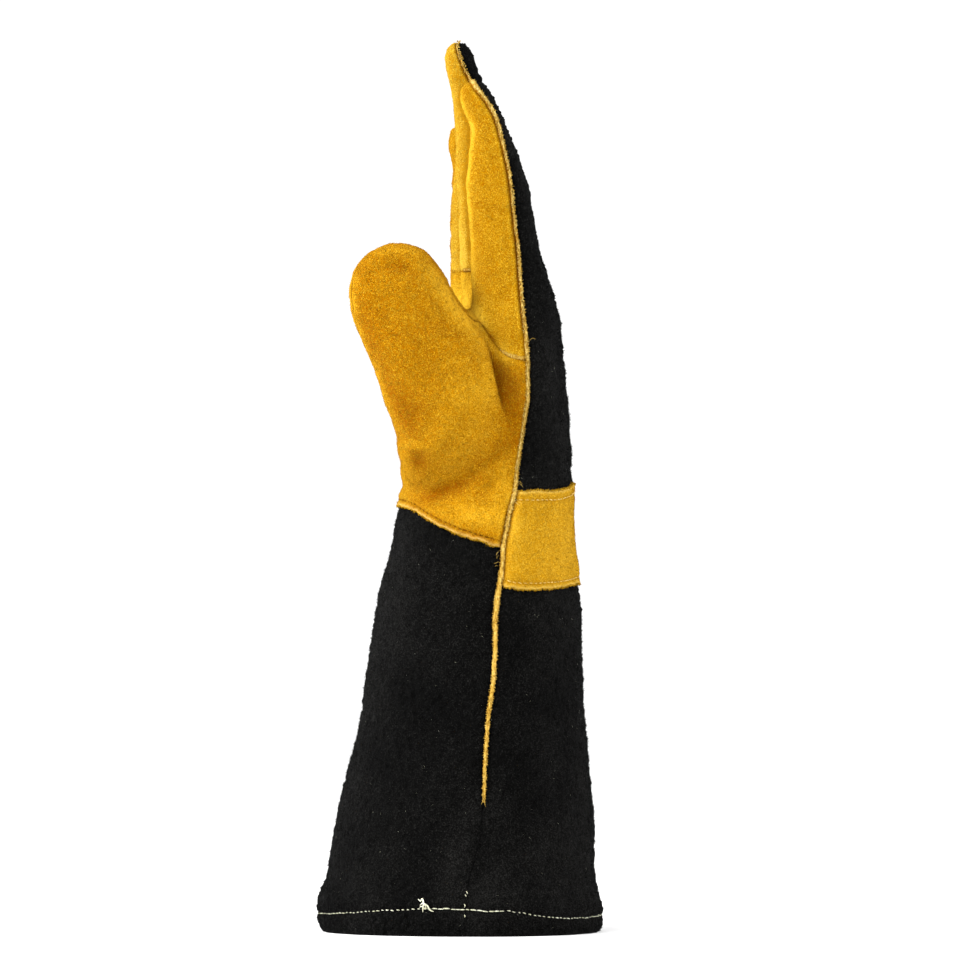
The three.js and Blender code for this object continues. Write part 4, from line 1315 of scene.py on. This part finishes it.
smallWelt = {
    "shape": tableOf("z half rise", [
        (236.4, 0.8, 0.1), (237.4, 0.75, 0.0), (238.6, 0.6, -0.1), (240.4, 0.36, -0.35), (242, 0.2, -0.7),
        (260, 0.3, -0.9), (300, 0.3, -0.9)]),
    "light": [(200, -0.1), (300, -0.1)],
    "root": 1.0, "shoulder": 0.6, "wander": 0.1, "fray": 0.1,
}
outerTips = 41           # y of the tips of the index and little fingers, where the strips meet
slimTips = {"z": (333, 351), "half": (0.36, 0.22)}
mainLine = linesOn(skin, "toBack", skin["place"][:, 2] > welt["end"])
points, ups, _ = evenly(mainLine, welt["step"])
if points[0, 1] > 0:
    points, ups = points[::-1], ups[::-1]
first = int(np.argmax(points[:, 1] > -outerTips))
last = first + int(np.argmax(points[first:, 1] > outerTips))
addStrip("thumb_side_strip", points[:first + 1], ups[:first + 1], welt, 201, "welt_thumb_side")
slim = np.interp(welt["shape"]["z"], slimTips["z"], slimTips["half"])
thinWelt = {**welt, "shape": {**welt["shape"], "half": slim}, "fray": 0.12}
addStrip("fingers_strip", points[first:last + 1], ups[first:last + 1], thinWelt, 202, "welt_fingers")
addStrip("little_side_strip", points[last:], ups[last:], welt, 203, "welt_little_side")

palmFace = skin["toBack"] < -1.0
wingLine = linesOn(skin, "wing", palmFace & (skin["edge"] > 0) & (skin["place"][:, 0] > 17))
points, ups, _ = evenly(wingLine, welt["step"])
addStrip("index_base_strip", points, ups, smallWelt, 204)
dashWelt = {**smallWelt, "shape": tableOf("z half rise", [(200, 0.5, 0.1), (300, 0.5, 0.1)])}
flatWelt = {**smallWelt, "shoulder": 0, "root": 0.8}
baseStrips = {
    "middle_side_strip": (-23.4, -17.6, dashWelt),
    "middle_base_strip": (-17.2, -1.0, flatWelt),
    "ring_base_strip": (1.0, 24.0, flatWelt),
}
for number, (name, (low, high, spec)) in enumerate(baseStrips.items()):
    across = skin["place"][:, 1]
    baseLine = linesOn(skin, "front", palmFace & (across > low) & (across < high))
    points, ups, _ = evenly(baseLine, welt["step"])
    addStrip(name, points, ups, spec, 205 + number)
print("welts:", len(mainLine["shown"]), "points in the long one")


# Thread

uneven = {"first": (0.2, 0.8), "pitch": (0.94, 1.06), "length": (0.88, 1.1), "thick": (0.88, 1.12),
          "slant": 0.12, "denseLength": 1.02, "denseThick": (0.9, 2.0)}
stitch = {"step": 0.35, "points": 7, "sides": 6, "flat": 0.7, "ends": 0.5}


def stitchesOn(line, spec, seed):
    # separate stitches along a line, each dipping into the leather at its ends
    points, ups, at = evenly(line, stitch["step"], 1)
    random = np.random.default_rng(seed)
    t = np.linspace(0, 1, stitch["points"])
    arch = np.sin(math.pi * t) ** stitch["flat"]
    parts = []
    start = spec["pitch"] * random.uniform(*uneven["first"])
    while start + spec["length"] < at[-1]:
        length, thick, pitch = spec["length"], spec["thick"], spec["pitch"]
        x, y = (np.interp(start, at, points[:, k]) for k in (0, 1))
        if spec["dense"] and y < 0 and spec["dense"][0] < x < spec["dense"][1]:
            length, thick = pitch * uneven["denseLength"], thick * random.uniform(*uneven["denseThick"])
        length *= random.uniform(*uneven["length"])
        reach = start + length * t
        path, up = sampled(reach, at, points), sampled(reach, at, ups)
        ahead = path[-1] - path[0]
        side = np.cross(ahead / np.linalg.norm(ahead), up.mean(0))
        slant = spec["slant"] + random.normal() * uneven["slant"]
        path = path + up * (arch * spec["lift"] - spec["sink"])[:, None]
        path = path + side * (slant * (t - 0.5) + random.normal() * spec["stray"])[:, None]
        full = stitch["ends"] + (1 - stitch["ends"]) * arch
        radius = thick / 2 * full * random.uniform(*uneven["thick"])
        parts.append(swept(path, up, radius[:, None, None] * circleOf(stitch["sides"])))
        start += pitch * random.uniform(*uneven["pitch"])
    return joined(parts)


def addThread(name, lines, spec, finish, seed):
    parts = [stitchesOn(line, spec, seed + i) for i, line in enumerate(lines)]
    made = showMesh(name, *joined(parts), finish)
    print("thread:", name, len(made.data.polygons))


rowEnds = 0.4            # how far from the side seam a row may begin


def rowOn(name, distance, at=0.0):
    # a row on a finished panel, at a distance from one of its edges
    sheet = dict(sheets[name])
    sheet["row"] = sheet[distance] - at
    side = "backSide" if name in ("cuff_back", "wrist_band") else "palmSide"
    return linesOn(sheet, "row", sheet[side] > rowEnds)


# dense is the stretch of x on the thumb side where the stitches run into each other
rows = {
    "hem": {"pitch": 2.55, "length": 1.5, "thick": 0.38, "lift": 0.34, "sink": 0.1, "slant": 0.14,
            "stray": 0.12, "dense": (-10, 21)},
    "band": {"pitch": 2.4, "length": 1.5, "thick": 0.42, "lift": 0.3, "sink": 0.1, "slant": 0.12,
             "stray": 0.05, "dense": None},
    "joint": {"pitch": 2.5, "length": 1.7, "thick": 0.4, "lift": 0.26, "sink": 0.1, "slant": 0.08,
              "stray": 0.05, "dense": None},
}
addThread("hem_thread", [rowOn("cuff_palm", "hemRow"), rowOn("cuff_back", "hemRow")],
          rows["hem"], "cream", 301)
addThread("band_thread", [rowOn("wrist_band", edge, at) for edge, at in band["rows"].items()],
          rows["band"], "pale", 311)
addThread("joint_thread", [rowOn(name, "joint", lap["row"]) for name in ("palm", "thumb_outer")],
          rows["joint"], "brown", 321)


# Loose strands and nap

strand = {
    "facing": -0.1,      # the thumb side is where the leather faces this far to -Y
    "nearest": 6,        # points of the leather that a place is taken from
    "sameFace": 2,       # how far apart in depth they may lie
    "soft": 0.05,
    "up": (0.05, -0.97, 0.2),
    "tip": 0.35,         # thickness at its ends
    "taper": 2.2,
    "sides": 5,
}
facePoints, faceNormals = (
    np.concatenate([sheet[column][sheet["normal"][:, 1] < strand["facing"]] for sheet in sheets.values()])
    for column in ("shown", "normal"))


def onFace(x, z):
    # the point of the thumb side that shows at x and z, and its normal
    away = np.hypot(facePoints[:, 0] - x, facePoints[:, 2] - z)
    near = np.argsort(away)[:strand["nearest"]]
    deep = facePoints[near, 1]
    front = near[deep < deep.min() + strand["sameFace"]]
    weight = 1 / (away[front] + strand["soft"])
    weight /= weight.sum()
    point = weight @ facePoints[front]
    normal = weight @ faceNormals[front]
    return np.array([x, point[1], z]), normal / np.linalg.norm(normal)


def strandOn(places, thick, lift, points=14):
    # a strand that lies on the thumb side through places in x, z and height over the leather
    spots = []
    for x, z, height in places:
        point, normal = onFace(x, z)
        spots.append(point + normal * (height + lift))
    spots = np.array(spots)
    at = np.linspace(0, len(spots) - 1, points)
    path = np.stack([curveAt(np.arange(len(spots)), spots[:, k], at) for k in range(3)], 1)
    fromEnd = np.minimum(at, at[-1] - at)
    taper = np.minimum(1, strand["tip"] + strand["taper"] * fromEnd / at[-1])
    ups = np.broadcast_to(strand["up"], path.shape)
    return swept(path, ups, (thick / 2 * taper)[:, None, None] * circleOf(strand["sides"]))


# the knot at the hem and the ends of thread near it: x, z and height over the leather
knot = [
    (0.7, [(-16.2, 15.0, 0.9), (-15.4, 14.3, 0.5), (-14.7, 15.2, 0.5), (-14.2, 13.6, 0.4),
           (-14.4, 11.8, 0.4), (-14.5, 10.0, 0.3)]),
    (0.65, [(-14.4, 11.4, 0.8), (-13.9, 13.0, 0.9), (-12.6, 12.4, 0.6), (-11.6, 10.8, 0.4),
            (-10.2, 10.2, 0.2)]),
    (0.5, [(-15.6, 12.6, 0.5), (-14.3, 13.3, 1.1), (-13.2, 11.8, 0.5), (-14.8, 11.2, 0.4)]),
    (0.5, [(-15.9, 11.7, 0.1), (-14.9, 12.1, 0.8), (-13.4, 11.2, 0.9), (-12.2, 11.7, 0.1)]),
    (0.36, [(3.0, 18.5, 0.0), (3.4, 18.0, 0.3), (3.6, 17.5, 0.0)]),
    (0.36, [(2.6, 17.1, 0.0), (2.9, 16.7, 0.3), (3.0, 16.3, 0.0)]),
    (0.45, [(2.2, 13.3, 0.0), (2.6, 12.7, 0.4), (2.4, 12.0, 0.0)]),
    (0.36, [(2.2, 9.0, 0.0), (2.6, 8.5, 0.3), (2.4, 7.9, 0.0)]),
    (0.45, [(0.8, 11.0, 0.1), (1.7, 11.05, 0.4), (2.5, 11.1, 0.1)]),
    (0.45, [(2.9, 11.1, 0.1), (3.6, 11.1, 0.4), (4.4, 11.0, 0.1)]),
]
# frayed hairs along the seams
hairs = [
    (0.12, [(16.6, 157.0, 0.0), (15.8, 156.3, 1.2), (15.3, 155.3, 1.5)]),
    (0.10, [(16.4, 155.6, 0.0), (15.7, 154.6, 1.0), (15.5, 153.7, 1.3)]),
    (0.12, [(16.3, 152.8, 0.0), (15.3, 152.1, 1.0), (14.5, 152.0, 1.3)]),
    (0.10, [(16.2, 150.9, 0.0), (15.5, 151.1, 0.8), (14.8, 150.5, 1.0)]),
    (0.11, [(23.4, 184.0, 0.0), (24.9, 184.6, 0.9), (26.1, 183.2, 1.0)]),
    (0.10, [(23.2, 185.0, 0.0), (24.5, 185.7, 0.8), (25.9, 184.6, 0.9)]),
    (0.11, [(22.9, 178.6, 0.0), (24.4, 177.4, 0.9), (26.2, 176.5, 0.7)]),
    (0.10, [(22.7, 177.4, 0.0), (24.0, 176.3, 0.8), (25.4, 175.4, 0.6)]),
    (0.10, [(28.8, 243.0, 0.2), (29.8, 243.9, 0.8), (31.0, 243.7, 1.0)]),
    (0.12, [(10.9, 57.4, 0.1), (10.5, 55.0, 0.5), (10.9, 52.8, 0.6)]),
    (0.12, [(10.2, 57.6, 0.1), (9.8, 55.4, 0.4), (9.2, 53.8, 0.5)]),
]
showMesh("hem_knot", *joined([strandOn(places, thick, 0.1, points=22) for thick, places in knot]), "cream")
showMesh("seam_hairs", *joined([strandOn(places, thick, 0.05) for thick, places in hairs]), "pale")


def sliversOf(base, way, length, width):
    # thin closed slivers that stand on the leather and point the given way; none goes below the floor
    flat = unit(np.cross(way, np.roll(way, 1, 1) + (0.1, 0.2, 0.3)))
    other = np.cross(way, flat)
    angles = (0, 2 * math.pi / 3, 4 * math.pi / 3)
    ring = [base - way * fibre["root"] + (flat * math.cos(a) + other * math.sin(a)) * width for a in angles]
    points = np.stack([*ring, base + way * length], 1).reshape(-1, 3)
    sliver = np.array([(0, 1, 3), (1, 2, 3), (2, 0, 3), (0, 2, 1)])
    faces = (np.arange(len(base))[:, None, None] * 4 + sliver).reshape(-1, 3)
    keep = points[:, 2].reshape(-1, 4).min(1) > 0
    used, faces = np.unique(faces[np.repeat(keep, 4)], return_inverse=True)
    return points[used], faces.reshape(-1, 3)


def fibresOn(name, count, spec, seed):
    # loose fibres of the nap, spread over a panel
    sheet = sheets[name]
    random = np.random.default_rng(seed)
    corners = sheet["shown"][sheet["faces"]]
    wide = np.linalg.norm(np.cross(corners[:, 1] - corners[:, 0], corners[:, 2] - corners[:, 0]), axis=1)
    face = random.choice(len(wide), count, p=wide / wide.sum())
    share = random.dirichlet((1, 1, 1), count)
    base = (corners[face] * share[..., None]).sum(1)
    up = unit((sheet["normal"][sheet["faces"][face]] * share[..., None]).sum(1))
    flat = unit(np.cross(up, random.normal(size=(count, 3))))
    length, lean, width = (random.uniform(*spec[key], count)[:, None]
                           for key in ("length", "lean", "width"))
    smaller = 1 - spec["finer"] * smoothStep(base[:, 2:], *fibre["finer"])
    way = up * np.cos(lean) + flat * np.sin(lean)
    return sliversOf(base, way, length * smaller, width * smaller)


def fuzzAlong(line, out, spec, seed):
    # loose fibres that stand out of a cut edge
    random = np.random.default_rng(seed)
    points, ups, at = evenly(line, fuzz["step"], 1)
    count = int(at[-1] * spec["each"])
    where = random.uniform(0, at[-1], count)
    up = sampled(where, at, ups)
    base = sampled(where, at, points) - up * random.uniform(*spec["deep"], count)[:, None]
    if out is None:
        out = unit(np.cross(sampled(where + fuzz["step"], at, points) - base, up))
        out *= random.choice((-1, 1), count)[:, None]
        half = np.interp(base[:, 2], welt["shape"]["z"], welt["shape"]["half"])
        base = base + out * (half - fuzz["inside"])[:, None]
    out = np.array(out, float)
    base = base + out * spec["off"]
    way = out + up * random.uniform(*spec["up"], count)[:, None]
    way = unit(way + random.normal(size=(count, 3)) * spec["stray"])
    length, width = (random.uniform(*spec[key], count)[:, None] for key in ("length", "width"))
    return sliversOf(base, way, length, width)


fibre = {
    "root": 0.05,            # how deep a sliver stands in the leather
    "finer": (255, 310),     # up the fingers they get smaller
    "gold": {"length": (0.7, 1.7), "lean": (1.1, 1.5), "width": (0.05, 0.1), "finer": 0},
    "black": {"length": (0.6, 1.6), "lean": (0.5, 1.4), "width": (0.04, 0.08), "finer": 0.3},
    "tufts": {"length": (0.5, 1.1), "lean": (0.1, 0.9), "width": (0.14, 0.32), "finer": 0.5},
    "lint": {"length": (0.3, 1.0), "lean": (1.3, 1.55), "width": (0.02, 0.04), "finer": 0},
}
# how uneven the tone of the fibres is, and how much lighter they are than the leather
fibreTone = {"gold": (0.2, 0.16), "palm": (0.2, 0.16), "fingers": (0.2, 0.12), "band": (0.2, 0.1),
             "black": (0.16, 0.1), "welt": (0, 0), "cream": (0, 0)}
fuzz = {
    "step": 0.4,
    "inside": 0.1,           # how far within the side of the welt its fibres begin
    "edge": {"each": 7, "off": 0.4, "deep": (-0.1, 1.3), "up": (-0.2, 0.6), "stray": 0.5,
             "length": (0.5, 1.2), "width": (0.16, 0.4)},
    "welt": {"each": 5, "off": 0.0, "deep": (-0.45, 0.1), "up": (-0.2, 0.7), "stray": 0.45,
             "length": (0.4, 1.0), "width": (0.12, 0.3)},
}
tufts = {"hand_back": 7000, "cuff_palm": 6500, "cuff_back": 6500}
lint = {"hand_back": 130, "cuff_palm": 170, "cuff_back": 170}
fibreCounts = {
    "palm": 7000, "finger_fronts": 3000, "thumb_outer": 9000, "thumb_inner": 2000, "wrist_band": 4000,
    "hand_back": 10000, "cuff_palm": 10000, "cuff_back": 10000,
}


def addFuzz(name, parts, kind):
    points, faces = joined(parts)
    random = np.random.default_rng(len(points))
    spread, lift = fibreTone[kind]
    tone = np.repeat(random.normal(size=len(points) // 4) * spread + lift, 4)
    showMesh(name, points, faces, kind, tone=tone)
    print("fuzz:", name, len(faces))


for number, (name, count) in enumerate(fibreCounts.items()):
    kind = leather[name]["finish"] if name in leather else "band"
    parts = [fibresOn(name, count, fibre["black" if kind == "black" else "gold"], 400 + number)]
    if name in tufts:
        parts.append(fibresOn(name, tufts[name], fibre["tufts"], 420 + number))
    addFuzz(name + "_nap", parts, kind)
# the cut edges, which way their fibres point, and the piece that they belong to
cutEdges = [("palm", "overJoint", -1, "palm"), ("thumb_outer", "overJoint", -1, "palm"),
            ("wrist_band", "belowBand", -1, "band"), ("wrist_band", "aboveBand", 1, "band")]
strips = {"palm": [], "band": []}
for number, (name, edge, way, piece) in enumerate(cutEdges):
    line = rowOn(name, edge, 0.15)
    strips[piece].append(fuzzAlong(line, (0, 0, way), fuzz["edge"], 431 + number))
for piece, parts in strips.items():
    addFuzz(piece + "_edge_fuzz", parts, "band")
addFuzz("welt_fuzz", [fuzzAlong(mainLine, None, fuzz["welt"], 435)], "welt")
addFuzz("lint", [fibresOn(name, count, fibre["lint"], 440 + number)
                 for number, (name, count) in enumerate(lint.items())], "cream")


# Camera, light and floor

view = {
    "from": (8.66, -5000.0, 186.1),
    "wide": 396.1,       # millimetres of the glove's plane across the picture
    "sensor": 36,
    "reach": 60,
}
studio = {
    "world": 1.1,
    "aim": (0, 0, 0.18),
    "lights": {
        "left": {"from": (-1.55, -0.4, 1.1), "size": 0.8, "power": 58.0},
        "right": {"from": (1.55, -0.4, 1.0), "size": 0.9, "power": 20.0},
        "front": {"from": (-0.7, -1.8, 1.7), "size": 1.0, "power": 15.0},
    },
    "floor": {"radius": 4.0, "corners": 128, "albedo": 0.9, "lighter": 0.02, "clouds": 3.0},
}


def addCamera():
    lens = bpy.data.cameras.new("camera")
    lens.sensor_width = view["sensor"]
    lens.lens = view["sensor"] * -view["from"][1] / view["wide"]
    lens.clip_end = view["reach"]
    made = linked("camera", lens)
    made.location = [value * mm for value in view["from"]]
    made.rotation_euler = (math.pi / 2, 0, 0)
    bpy.context.scene.camera = made


def addLights():
    for name, spec in studio["lights"].items():
        light = bpy.data.lights.new(name, "AREA")
        light.shape = "DISK"
        light.size = spec["size"]
        light.energy = spec["power"]
        made = linked(name, light)
        made.location = spec["from"]
        aim = Vector(studio["aim"]) - made.location
        made.rotation_euler = aim.to_track_quat("-Z", "Y").to_euler()


def addWorld():
    world = bpy.data.worlds.new("studio")
    world.use_nodes = True
    background = world.node_tree.nodes["Background"]
    background.inputs["Color"].default_value = (1, 1, 1, 1)
    background.inputs["Strength"].default_value = studio["world"]
    bpy.context.scene.world = world


def addFloor():
    spec = studio["floor"]
    count = spec["corners"]
    edge = np.pad(circleOf(count), ((0, 1), (0, 1))) * spec["radius"] / mm
    i = np.arange(count)
    faces = np.stack([np.full(count, count), i, (i + 1) % count], 1)
    finish = Finish("pale floor")
    cloudy = finish.noise(finish.place(), spec["clouds"])
    colour = finish.mixed(cloudy, (spec["albedo"],) * 3, (spec["albedo"] + spec["lighter"],) * 3)
    finish.surface(colour, roughness=0.9, height=cloudy, strength=0.1, distance=0.0005,
                   Specular_IOR_Level=0.05)
    made = linked("floor", meshOf("floor", edge, faces))
    made.data.materials.append(finish.material)


addCamera()
addLights()
addWorld()
addFloor()
bpy.context.scene.view_settings.view_transform = "Standard"
print("studio:", len(studio["lights"]), "lights")
